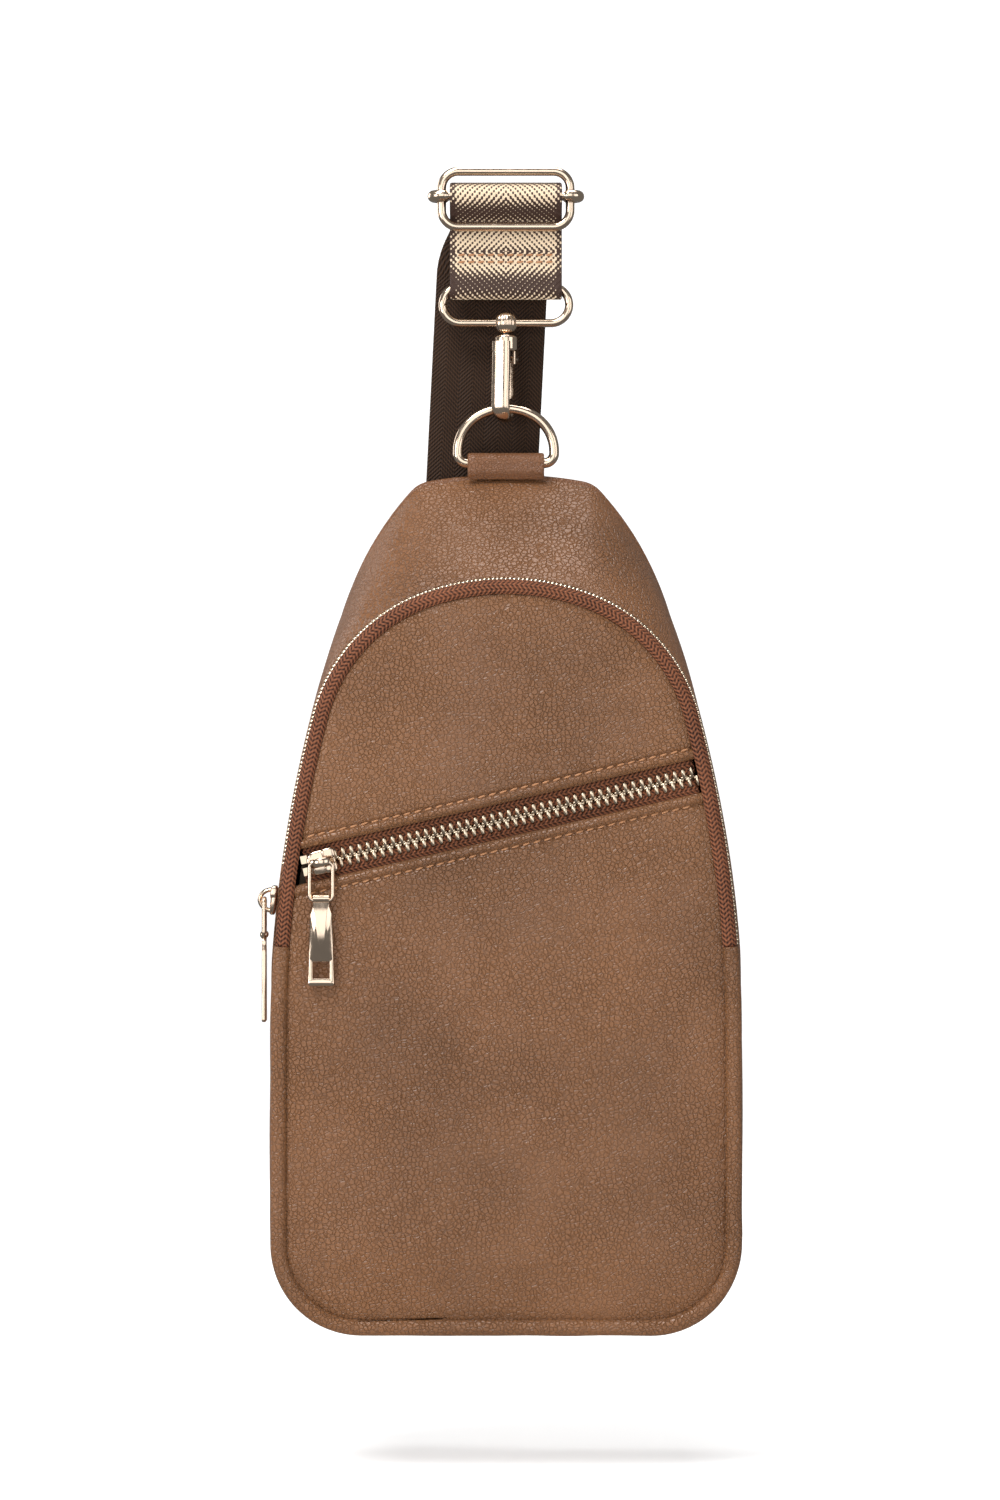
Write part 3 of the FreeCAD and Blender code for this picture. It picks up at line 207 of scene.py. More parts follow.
def slab_profile(wide: float, thick: float, corner: float, per_corner: int = 5) -> np.ndarray:
    """A rounded rectangle: four quarter circles around the corners of a smaller rectangle."""
    half_w, half_t = wide / 2 - corner, thick / 2 - corner
    turns = np.linspace(0, np.pi / 2, per_corner)
    parts = []
    for quarter, (a, b) in enumerate(((1, 1), (-1, 1), (-1, -1), (1, -1))):
        angle = turns + quarter * np.pi / 2
        parts.append(np.stack([a * half_w + corner * np.cos(angle), b * half_t + corner * np.sin(angle)], -1))
    return np.concatenate(parts)


def tube(name: str, path: np.ndarray, radius: float | np.ndarray, plane: tuple[float, float, float],
         closed: bool = True, sides: int = 20) -> bpy.types.Object:
    """Round wire along a flat path.

    Args:
        name: the piece's name.
        path: (n, 3) centre line.
        radius: wire radius, or one for each point.
        plane: normal of the path's plane.
        closed: whether the wire joins up; open ends are closed by poles.
        sides: points around the wire.

    Returns:
        The wire's object.
    """
    radius = np.broadcast_to(radius, (len(path),))
    profile = circle_profile(1.0, sides)[None] * radius[:, None, None]
    points = carried(path, profile, np.array(plane), closed)
    return closed_grid(name, points, closed)


def closed_grid(name: str, points: np.ndarray, closed: bool = False,
                uv: np.ndarray | None = None) -> bpy.types.Object:
    """A grid whose columns join up; its ends join too, or are closed by a flat cap with a pole.

    Args:
        name: the piece's name.
        points: (rows, columns, 3) places.
        closed: whether the last row joins the first.
        uv: optional (rows, columns, 2) texture places.

    Returns:
        The closed piece.
    """
    if not closed:
        points = with_caps(points)
        uv = None if uv is None else with_caps(uv)
    obj = grid_object(name, points, closed, True, uv)
    return merge_poles(obj)


def with_caps(grid: np.ndarray) -> np.ndarray:
    """Add a pole and a tight second row at both ends: the mean of the end row, and a 3% step inwards."""
    first, last = grid[:1], grid[-1:]
    poles = [np.broadcast_to(row.mean(1, keepdims=True), row.shape) for row in (first, last)]
    inner = [first + 0.03 * (grid[1:2] - first), last + 0.03 * (grid[-2:-1] - last)]
    return np.concatenate([poles[0], first, inner[0], grid[1:-1], inner[1], last, poles[1]])


def extra(obj: bpy.types.Object, kind: str, **values: object) -> bpy.types.Object:
    """Add a modifier and set its values.

    Args:
        obj: the piece.
        kind: the modifier's type, such as SOLIDIFY.
        values: its settings.

    Returns:
        The piece.
    """
    modifier = obj.modifiers.new(kind.title(), kind)
    for key, value in values.items():
        setattr(modifier, key, value)
    return obj


def apply_modifiers(obj: bpy.types.Object) -> bpy.types.Object:
    """Replace the object's mesh with its finished one and drop the modifiers."""
    graph = bpy.context.evaluated_depsgraph_get()
    mesh = bpy.data.meshes.new_from_object(obj.evaluated_get(graph))
    obj.modifiers.clear()
    obj.data = mesh
    return obj


def dress(obj: bpy.types.Object, material: bpy.types.Material) -> bpy.types.Object:
    """Give a piece its material, and log it."""
    obj.data.materials.clear()
    obj.data.materials.append(material)
    log.info("%-28s %7d faces", obj.name, len(obj.data.polygons))
    return obj


def place(obj: bpy.types.Object, body: str, *nodes: str) -> bpy.types.Object:
    """Let a piece ride on a body and stand for frame nodes."""
    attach(obj, body)
    if nodes:
        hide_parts(*nodes)
    return obj


def settle(obj: bpy.types.Object, material: bpy.types.Material, slot: str, body: str,
           *nodes: str) -> bpy.types.Object:
    """Dress a piece, let it ride on a body, and let it stand for frame nodes."""
    return place(dress(obj, material), body, *nodes)


# ------------------------------------------------------------------------------------ finishes


class Nodes:
    """Small helper that builds a material's node tree."""

    def __init__(self, name: str) -> None:
        """Start a material with a principled shader."""
        self.material = bpy.data.materials.new(name)
        self.material.use_nodes = True
        self.tree = self.material.node_tree
        self.shader = self.tree.nodes["Principled BSDF"]
        self.shader.distribution = "MULTI_GGX"

    def link(self, source: bpy.types.NodeSocket, target: bpy.types.NodeSocket) -> None:
        """Join two sockets."""
        self.tree.links.new(source, target)

    def math(self, operation: str, first: object, second: object = 0.0) -> bpy.types.NodeSocket:
        """A math node; each operand is a socket or a number."""
        node = self.tree.nodes.new("ShaderNodeMath")
        node.operation = operation
        for index, operand in enumerate((first, second)):
            if isinstance(operand, bpy.types.NodeSocket):
                self.link(operand, node.inputs[index])
            else:
                node.inputs[index].default_value = operand
        return node.outputs[0]

    def sine(self, value: bpy.types.NodeSocket, rate: float) -> bpy.types.NodeSocket:
        """Sine of a value times a rate."""
        return self.math("SINE", self.math("MULTIPLY", value, rate))

    def place(self) -> bpy.types.NodeSocket:
        """The piece's own coordinates in metres."""
        return self.tree.nodes.new("ShaderNodeTexCoord").outputs["Object"]

    def uv(self) -> tuple[bpy.types.NodeSocket, bpy.types.NodeSocket]:
        """The two texture coordinates, in metres across and along the piece."""
        source = self.tree.nodes.new("ShaderNodeUVMap")
        source.uv_map = "UVMap"
        split = self.tree.nodes.new("ShaderNodeSeparateXYZ")
        self.link(source.outputs[0], split.inputs[0])
        return split.outputs[0], split.outputs[1]

    def noise(self, scale: float, detail: float = 3.0, rough: float = 0.5,
              vector: bpy.types.NodeSocket | None = None) -> bpy.types.NodeSocket:
        """Noise value at a scale per metre."""
        node = self.tree.nodes.new("ShaderNodeTexNoise")
        node.inputs["Scale"].default_value = scale
        node.inputs["Detail"].default_value = detail
        node.inputs["Roughness"].default_value = rough
        self.link(vector or self.place(), node.inputs["Vector"])
        return node.outputs["Fac"]

    def ramp(self, value: bpy.types.NodeSocket, stops: list[tuple[float, tuple[float, float, float]]],
             ) -> bpy.types.NodeSocket:
        """Colour ramp over a value."""
        node = self.tree.nodes.new("ShaderNodeValToRGB")
        elements = node.color_ramp.elements
        while len(elements) < len(stops):
            elements.new(0.5)
        for element, (spot, colour) in zip(elements, stops):
            element.position = spot
            element.color = (*colour, 1.0)
        self.link(value, node.inputs[0])
        return node.outputs[0]

    def range(self, value: bpy.types.NodeSocket, low: float, high: float, to_low: float,
              to_high: float) -> bpy.types.NodeSocket:
        """Map a value from one range to another, clamped."""
        node = self.tree.nodes.new("ShaderNodeMapRange")
        for key, number in (("From Min", low), ("From Max", high), ("To Min", to_low), ("To Max", to_high)):
            node.inputs[key].default_value = number
        self.link(value, node.inputs["Value"])
        return node.outputs[0]

    def shaded(self, colour: bpy.types.NodeSocket, value: bpy.types.NodeSocket,
               stops: list[tuple[float, float]]) -> bpy.types.NodeSocket:
        """Multiply a colour by a brightness that is looked up for a value.

        Args:
            colour: the colour to darken.
            value: what the brightness follows.
            stops: pairs of value and brightness.

        Returns:
            The darkened colour.
        """
        node = self.tree.nodes.new("ShaderNodeMix")
        node.data_type = "RGBA"
        node.blend_type = "MULTIPLY"
        node.inputs[0].default_value = 1.0
        self.link(colour, node.inputs[6])
        self.link(self.ramp(value, [(spot, (bright,) * 3) for spot, bright in stops]), node.inputs[7])
        return node.outputs[2]

    def bump(self, value: bpy.types.NodeSocket, distance: float, strength: float = 1.0,
             before: bpy.types.NodeSocket | None = None) -> bpy.types.NodeSocket:
        """Bump from a height value; distance is in metres."""
        node = self.tree.nodes.new("ShaderNodeBump")
        node.inputs["Strength"].default_value = strength
        node.inputs["Distance"].default_value = distance
        self.link(value, node.inputs["Height"])
        if before is not None:
            self.link(before, node.inputs["Normal"])
        return node.outputs[0]

    def finish(self, colour: bpy.types.NodeSocket | None, rough: bpy.types.NodeSocket | None,
               normal: bpy.types.NodeSocket | None, **values: float) -> bpy.types.Material:
        """Join the shader up, set its uniform values, and return the material."""
        for socket, target in ((colour, "Base Color"), (rough, "Roughness"), (normal, "Normal")):
            if socket is not None:
                self.link(socket, self.shader.inputs[target])
        for key, value in values.items():
            self.shader.inputs[key.replace("_", " ")].default_value = value
        return self.material


def linear(red: int, green: int, blue: int) -> tuple[float, float, float]:
    """A screen colour of 0 to 255 as linear light."""
    shares = (value / 255 for value in (red, green, blue))
    return tuple(((share + 0.055) / 1.055) ** 2.4 if share > 0.0395 else share / 12.92 for share in shares)


@dataclass(frozen=True)
class GrainedLeather:
    """Soft pebbled leather: cells of grain with painted shade in their valleys, fine pores, drifting colour
    and a satin face.
    """

    name: str
    colour: tuple[int, int, int]
    cell: float = 1.45 * MM
    depth: float = 0.34 * MM
    rough: float = 0.36

    def build(self) -> bpy.types.Material:
        """Make the material: warped cells give valleys, darkened by painted shade; noise gives pores, creases
        and drifting colour.
        """
        n = Nodes(self.name)
        spot = n.place()
        warp = n.tree.nodes.new("ShaderNodeTexNoise")
        warp.inputs["Scale"].default_value = 0.5 / self.cell
        n.link(spot, warp.inputs["Vector"])
        moved = n.tree.nodes.new("ShaderNodeVectorMath")
        moved.operation = "MULTIPLY_ADD"
        n.link(warp.outputs["Color"], moved.inputs[0])
        moved.inputs[1].default_value = (self.cell * 0.9,) * 3
        n.link(spot, moved.inputs[2])
        cells = n.tree.nodes.new("ShaderNodeTexVoronoi")
        cells.feature = "DISTANCE_TO_EDGE"
        cells.inputs["Scale"].default_value = 1 / self.cell
        n.link(moved.outputs[0], cells.inputs["Vector"])
        valley = n.range(cells.outputs["Distance"], 0.0, 0.16, 0.0, 1.0)
        pores = n.noise(2.6 / self.cell, 2.0)
        patch = n.noise(38.0, 3.0)
        grain = n.math("MULTIPLY", valley, n.range(patch, 0.3, 0.7, 0.45, 1.0))
        height = n.math("ADD", grain, n.math("MULTIPLY", pores, 0.35))
        crease = n.noise(120.0, 4.0, 0.6)
        base = linear(*self.colour)
        dark = tuple(c * 0.82 for c in base)
        light = tuple(min(1.0, c * 1.14) for c in base)
        drift = n.ramp(n.noise(16.0, 4.0), [(0.32, dark), (0.5, base), (0.7, light)])
        # Painted shade: the colour darkens to 82% down in the grain's valleys.
        hollow_shade = n.range(valley, 0.0, 1.0, 0.82, 1.0)
        colour = n.shaded(drift, hollow_shade, [(0.0, 0.0), (1.0, 1.0)])
        rough = n.range(n.math("ADD", n.math("MULTIPLY", valley, 0.5), crease), 0.3, 1.1,
                        self.rough + 0.12, self.rough - 0.05)
        normal = n.bump(crease, 0.5 * MM, 0.5)
        normal = n.bump(height, self.depth, 1.0, normal)
        return n.finish(colour, rough, normal, Specular_IOR_Level=0.45)


@dataclass(frozen=True)
class CutEdge:
    """Painted leather edge: smooth and dark with slight waves."""

    name: str
    colour: tuple[int, int, int]

    def build(self) -> bpy.types.Material:
        """Make the material."""
        n = Nodes(self.name)
        base = linear(*self.colour)
        colour = n.ramp(n.noise(300.0), [(0.3, tuple(c * 0.8 for c in base)), (0.7, base)])
        rough = n.range(n.noise(700.0), 0.3, 0.7, 0.4, 0.6)
        return n.finish(colour, rough, n.bump(n.noise(900.0), 0.08 * MM, 0.5))


class Weave(Enum):
    """How a cloth's threads cross."""

    HERRINGBONE = "herringbone"
    CHEVRON = "chevron"
    PLAIN = "plain"


@dataclass(frozen=True)
class WovenCloth:
    """Woven cloth drawn on the piece's own UV map, in metres across and along."""

    name: str
    colour: tuple[int, int, int]
    second: tuple[int, int, int]
    weave: Weave
    thread: float
    band: float = 6 * MM
    sheen: float = 0.1
    rough: float = 0.75

    def build(self) -> bpy.types.Material:
        """Make the material: threads are sine waves, turned back every band for a herringbone or chevron."""
        n = Nodes(self.name)
        across, along = n.uv()
        turn = 2 * math.pi / self.thread
        if self.weave in (Weave.HERRINGBONE, Weave.CHEVRON):
            folded = n.math("PINGPONG", across, self.band)
            lean = n.math("ADD", n.math("MULTIPLY", folded, 1.0), along)
            ridge = n.sine(lean, turn)
            fine = n.sine(across, turn * 1.7)
            height = n.math("ADD", n.math("MULTIPLY", ridge, 0.5), n.math("MULTIPLY", fine, 0.22))
        else:
            warp = n.sine(across, turn)
            weft = n.sine(along, turn)
            height = n.math("MULTIPLY", warp, weft)
        level = n.range(height, -0.75, 0.75, 0.0, 1.0)
        fibre = n.noise(2500.0, 2.0)
        worn = n.noise(60.0, 3.0)
        fact = n.math("ADD", n.math("MULTIPLY", level, 0.8), n.math("MULTIPLY", worn, 0.25))
        base, other = linear(*self.colour), linear(*self.second)
        colour = n.ramp(fact, [(0.15, other), (0.9, base)])
        colour = n.shaded(colour, fibre, [(0.2, 0.72), (0.8, 1.0)])
        rough = n.range(fact, 0.0, 1.0, self.rough, self.rough - 0.15)
        normal = n.bump(level, self.thread * 0.3, 0.8)
        normal = n.bump(fibre, 0.03 * MM, 0.5, normal)
        return n.finish(colour, rough, normal, Sheen_Weight=self.sheen, Specular_IOR_Level=0.2)


@dataclass(frozen=True)
class PatternedWebbing:
    """Two-tone webbing: slanting twill that turns at the middle, under soft light and dark bands of painted
    sheen.
    """

    name: str
    light: tuple[int, int, int]
    dark: tuple[int, int, int]
    wide: float = 38 * MM
    # repeat and first: period of the painted sheen bands along the strap, and where the first light band is
    # centred.
    repeat: float = 15 * MM
    first: float = 4 * MM
    twill: float = 2.1 * MM

    def build(self) -> bpy.types.Material:
        """Make the material: two slanting waves pick light or dark thread, and a slow band of painted sheen
        pushes the choice to the light thread where the strap should catch the light.
        """
        n = Nodes(self.name)
        across, along = n.uv()
        centred = n.math("ABSOLUTE", across)
        # Painted sheen: band is a slow light and dark wave along the strap, set to light the front of the eye
        # loop and of the wrap over the bar.
        phase = n.math("MULTIPLY", n.math("SUBTRACT", along, self.first), 2 * math.pi / self.repeat)
        band = n.math("COSINE", n.math("ADD", phase, n.math("MULTIPLY", centred, 14.0)))
        twill = n.math("SINE", n.math("MULTIPLY", n.math("ADD", along, centred), 2 * math.pi / self.twill))
        cross = n.math("SINE", n.math("MULTIPLY", n.math("SUBTRACT", along, n.math("MULTIPLY", centred, 1.6)),
                                      2 * math.pi / self.twill))
        edge = n.range(centred, self.wide / 2 - 2.2 * MM, self.wide / 2 - 1.6 * MM, 0.0, 0.8)
        dots = n.math("ADD", n.math("MULTIPLY", twill, 0.75), n.math("MULTIPLY", cross, 0.5))
        mixed = n.math("SUBTRACT", n.math("ADD", dots, n.math("MULTIPLY", band, 0.8)), edge)
        choose = n.range(mixed, 0.2, 0.5, 0.0, 1.0)
        ribs = n.sine(along, 2 * math.pi / (0.75 * MM))
        cords = n.sine(across, 2 * math.pi / (0.6 * MM))
        weave = n.math("MULTIPLY", ribs, cords)
        worn = n.noise(45.0, 3.0)
        fact = n.math("ADD", n.math("MULTIPLY", choose, 0.85), n.math("MULTIPLY", worn, 0.15))
        colour = n.ramp(fact, [(0.12, linear(*self.dark)), (0.88, linear(*self.light))])
        # Painted shade: the colour darkens to 72% where the weave of ribs and cords is low.
        hollow_shade = n.range(weave, -1.0, 1.0, 0.72, 1.0)
        colour = n.shaded(colour, hollow_shade, [(0.0, 0.0), (1.0, 1.0)])
        rough = n.range(choose, 0.0, 1.0, 0.62, 0.42)
        normal = n.bump(weave, 0.12 * MM, 0.7)
        normal = n.bump(twill, 0.15 * MM, 0.4, normal)
        return n.finish(colour, rough, normal, Specular_IOR_Level=0.6)


@dataclass(frozen=True)
class PlatedMetal:
    """Polished plated metal with faint drawn lines and uneven gloss."""

    name: str
    colour: tuple[int, int, int]
    rough: float = 0.16
    grain: float = 0.0

    def build(self) -> bpy.types.Material:
        """Make the material: noise varies the gloss and tint and a fine bump breaks the mirror."""
        n = Nodes(self.name)
        base = linear(*self.colour)
        colour = n.ramp(n.noise(90.0), [(0.3, tuple(c * 0.9 for c in base)), (0.7, base)])
        rough = n.range(n.noise(420.0, 4.0), 0.3, 0.7, self.rough * 0.7, self.rough * 1.5)
        normal = n.bump(n.noise(1500.0, 2.0), 0.002 * MM, 0.04 + self.grain)
        return n.finish(colour, rough, normal, Metallic=1.0)


@dataclass(frozen=True)
class SewingThread:
    """Twisted thread: fine oblique ply lines over a soft sheen."""

    name: str
    colour: tuple[int, int, int]

    def build(self) -> bpy.types.Material:
        """Make the material: a wave texture across the piece gives the plies."""
        n = Nodes(self.name)
        base = linear(*self.colour)
        wave = n.tree.nodes.new("ShaderNodeTexWave")
        wave.bands_direction = "DIAGONAL"
        wave.inputs["Scale"].default_value = 900.0
        n.link(n.place(), wave.inputs["Vector"])
        colour = n.ramp(wave.outputs["Fac"], [(0.0, tuple(c * 0.6 for c in base)), (1.0, base)])
        rough = n.range(n.noise(500.0), 0.3, 0.7, 0.5, 0.7)
        return n.finish(colour, rough, n.bump(wave.outputs["Fac"], 0.06 * MM, 0.6), Sheen_Weight=0.2)


# ------------------------------------------------------------------------------------ outlines of the bag


BASE_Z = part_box("lower_gusset")[0].z
BACK_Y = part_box("back_panel")[1].y
FRONT_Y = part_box("lower_gusset")[0].y
TAPER_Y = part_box("crown_gusset")[0].y
HALF_TURN = 7.0


@dataclass(frozen=True)
class Outline:
    """A symmetric outline of straights and tangent arcs, from the base's middle up to the top's middle.

    A place on it is a number q: 0 to 7 up the right side, one for each stretch, and 7 to 14 down the left.
    """

    width: float
    base: float
    top: float
    corner: float
    straight: float
    turns: tuple[float, float, float, float]
    middle: tuple[float, float]

    def radii(self) -> list[float]:
        """Radii of the four upper arcs; the first and last are solved so that the chain ends at the top."""
        heads = np.radians(90.0 + np.concatenate([[0.0], np.cumsum(self.turns)]))
        step_x, step_h = np.diff(np.sin(heads)), -np.diff(np.cos(heads))
        want_x = -self.width / 2 - step_x[1] * self.middle[0] - step_x[2] * self.middle[1]
        want_h = self.top - self.base - self.corner - self.straight
        want_h -= step_h[1] * self.middle[0] + step_h[2] * self.middle[1]
        matrix = np.array([[step_x[0], step_x[3]], [step_h[0], step_h[3]]])
        first, last = np.linalg.solve(matrix, np.array([want_x, want_h]))
        return [float(first), self.middle[0], self.middle[1], float(last)]

    def stretches(self, inset: float) -> tuple[np.ndarray, np.ndarray, np.ndarray, np.ndarray]:
        """Starts, headings, turns and sizes (radius, or length where the turn is 0) of the right side."""
        turns = np.radians([0.0, 90.0, 0.0, *self.turns])
        sizes = np.array([self.width / 2 - self.corner, self.corner - inset, self.straight,
                          *(r - inset for r in self.radii())])
        heads = np.concatenate([[0.0], np.cumsum(turns)[:-1]])
        bend = np.stack([np.sin(heads + turns) - np.sin(heads), np.cos(heads) - np.cos(heads + turns)], -1)
        line = np.stack([np.cos(heads), np.sin(heads)], -1)
        moves = np.where(turns[:, None] > 0, bend, line) * sizes[:, None]
        start = np.array([0.0, self.base + inset])
        starts = start + np.concatenate([[[0.0, 0.0]], np.cumsum(moves, 0)[:-1]])
        return starts, heads, turns, sizes

    def at(self, q: np.ndarray, inset: float = 0.0) -> tuple[np.ndarray, np.ndarray]:
        """Places and outward normals at q.

        Formula: within a stretch, place = start + radius * (sin, cos differences of the heading), or
        start + share * length * heading on a straight; the left side is the right side's mirror image.

        Args:
            q: places on the outline.
            inset: distance moved in, in metres.

        Returns:
            (n, 2) of x and height above the base, and (n, 2) normals.
        """
        q = np.mod(q, 2 * HALF_TURN)
        left = q > HALF_TURN
        p = np.where(left, 2 * HALF_TURN - q, q)
        k = np.minimum(p.astype(int), 6)
        share = p - k
        starts, heads, turns, sizes = self.stretches(inset)
        head = heads[k] + turns[k] * share
        bend = np.stack([np.sin(head) - np.sin(heads[k]), np.cos(heads[k]) - np.cos(head)], -1)
        line = np.stack([np.cos(head), np.sin(head)], -1) * share[:, None]
        spots = starts[k] + np.where(turns[k, None] > 0, bend, line) * sizes[k, None]
        normals = np.stack([np.sin(head), -np.cos(head)], -1)
        flip = np.where(left, -1.0, 1.0)[:, None] * [1.0, 0.0] + [0.0, 1.0]
        return spots * flip, normals * flip

    def even(self, first: float, last: float, count: int, inset: float = 0.0) -> np.ndarray:
        """q of points evenly spaced between two places."""
        fine = np.linspace(first, last, 4000)
        spots, _ = self.at(fine, inset)
        run = travelled(spots)
        return np.interp(np.linspace(0, run[-1], count), run, fine)

    def length(self, first: float, last: float, inset: float = 0.0) -> float:
        """Length between two places."""
        spots, _ = self.at(np.linspace(first, last, 4000), inset)
        return float(np.linalg.norm(np.diff(spots, axis=0), axis=1).sum())

    def level(self, height: float, inset: float = 0.0) -> float:
        """q on the right side at a height above the base."""
        fine = np.linspace(0.5, HALF_TURN, 8000)
        spots, _ = self.at(fine, inset)
        return float(np.interp(height, spots[:, 1], fine))

    def half_width(self, height: np.ndarray, inset: float) -> np.ndarray:
        """Half-width at heights above the base."""
        fine = np.linspace(0.0, HALF_TURN, 8000)
        spots, _ = self.at(fine, inset)
        return np.interp(height, spots[:, 1], spots[:, 0])


BACK = Outline(160 * MM, 0.0, 286 * MM, 31 * MM, 9 * MM, (13.5, 28.5, 38.0, 10.0), (110 * MM, 10 * MM))
FRONT = Outline(155 * MM, 0.0, 249 * MM, 30 * MM, 68 * MM, (15.0, 27.5, 27.5, 20.0), (58 * MM, 58 * MM))
ZIP_END = 128 * MM
PANEL_INSET = 5.2 * MM


def solid(spots: np.ndarray, y: np.ndarray | float) -> np.ndarray:
    """Places in the frame from x and height above the base, at a depth y."""
    return np.stack([spots[..., 0], np.broadcast_to(y, spots.shape[:-1]), spots[..., 1] + BASE_Z], -1)


def smooth(low: float, high: float, value: np.ndarray) -> np.ndarray:
    """Smooth step from 0 at low to 1 at high."""
    share = np.clip((value - low) / (high - low), 0, 1)
    return share * share * (3 - 2 * share)


def wave(x: np.ndarray, y: np.ndarray, seed: int, cell: float) -> np.ndarray:
    """Gentle unevenness between -1 and 1: a sum of six sine waves with seeded directions and phases."""
    rng = np.random.default_rng(seed)
    turn = rng.uniform(0, 2 * np.pi, 6)
    reach = 2 * np.pi / (cell * rng.uniform(0.7, 1.9, 6))
    phase = rng.uniform(0, 2 * np.pi, 6)
    total = sum(np.sin((x * np.cos(t) + y * np.sin(t)) * k + p) for t, k, p in zip(turn, reach, phase))
    return total / 4.0


# ------------------------------------------------------------------------------------ finishes of this bag


LEATHER = GrainedLeather("grained_leather", (119, 80, 50)).build()
# Crown leather: coarser grain, and a touch lighter than the body leather as painted light on the top, which
# faces the lamps.
LIT_CROWN_LEATHER = GrainedLeather("crown_leather", (123, 83, 53), cell=1.6 * MM).build()
TRIM_LEATHER = GrainedLeather("trim_leather", (116, 76, 48), cell=1.1 * MM, depth=0.2 * MM).build()
BACK_LEATHER = GrainedLeather("back_leather", (112, 74, 47), cell=1.6 * MM, rough=0.5).build()
EDGE_PAINT = CutEdge("edge_paint", (70, 44, 30)).build()
TAPE = WovenCloth(
    "zip_tape", (150, 92, 62), (36, 18, 12), Weave.HERRINGBONE, thread=1.6 * MM, band=1.45 * MM, sheen=0.0,
).build()
LINING = WovenCloth("lining_cloth", (118, 98, 78), (84, 68, 52), Weave.PLAIN, 0.7 * MM).build()
WEB = PatternedWebbing("patterned_webbing", (244, 218, 184), (66, 38, 24)).build()
# The strap's rear face: plain dark brown, partly the webbing's own back weave and partly painted shade, as
# the runs behind the slider and the bag sit out of the light.
WEB_BACK_AND_SHADE = WovenCloth(
    "webbing_back", (70, 47, 30), (26, 16, 10), Weave.CHEVRON, thread=1.4 * MM, band=4.75 * MM, sheen=0.0,
).build()
THREAD = SewingThread("sewing_thread", (188, 132, 88)).build()
PALE_THREAD = SewingThread("pale_thread", (150, 112, 76)).build()
GOLD = PlatedMetal("pale_gold_plate", (240, 216, 192)).build()
ZIP_METAL = PlatedMetal("zip_metal", (232, 212, 186), rough=0.2).build()
STEEL = PlatedMetal("spring_steel", (176, 170, 162), rough=0.3, grain=0.2).build()
FOAM = WovenCloth("foam_sheet", (96, 88, 80), (70, 64, 58), Weave.PLAIN, 1.4 * MM, sheen=0.1).build()


# ------------------------------------------------------------------------------------ leather shells


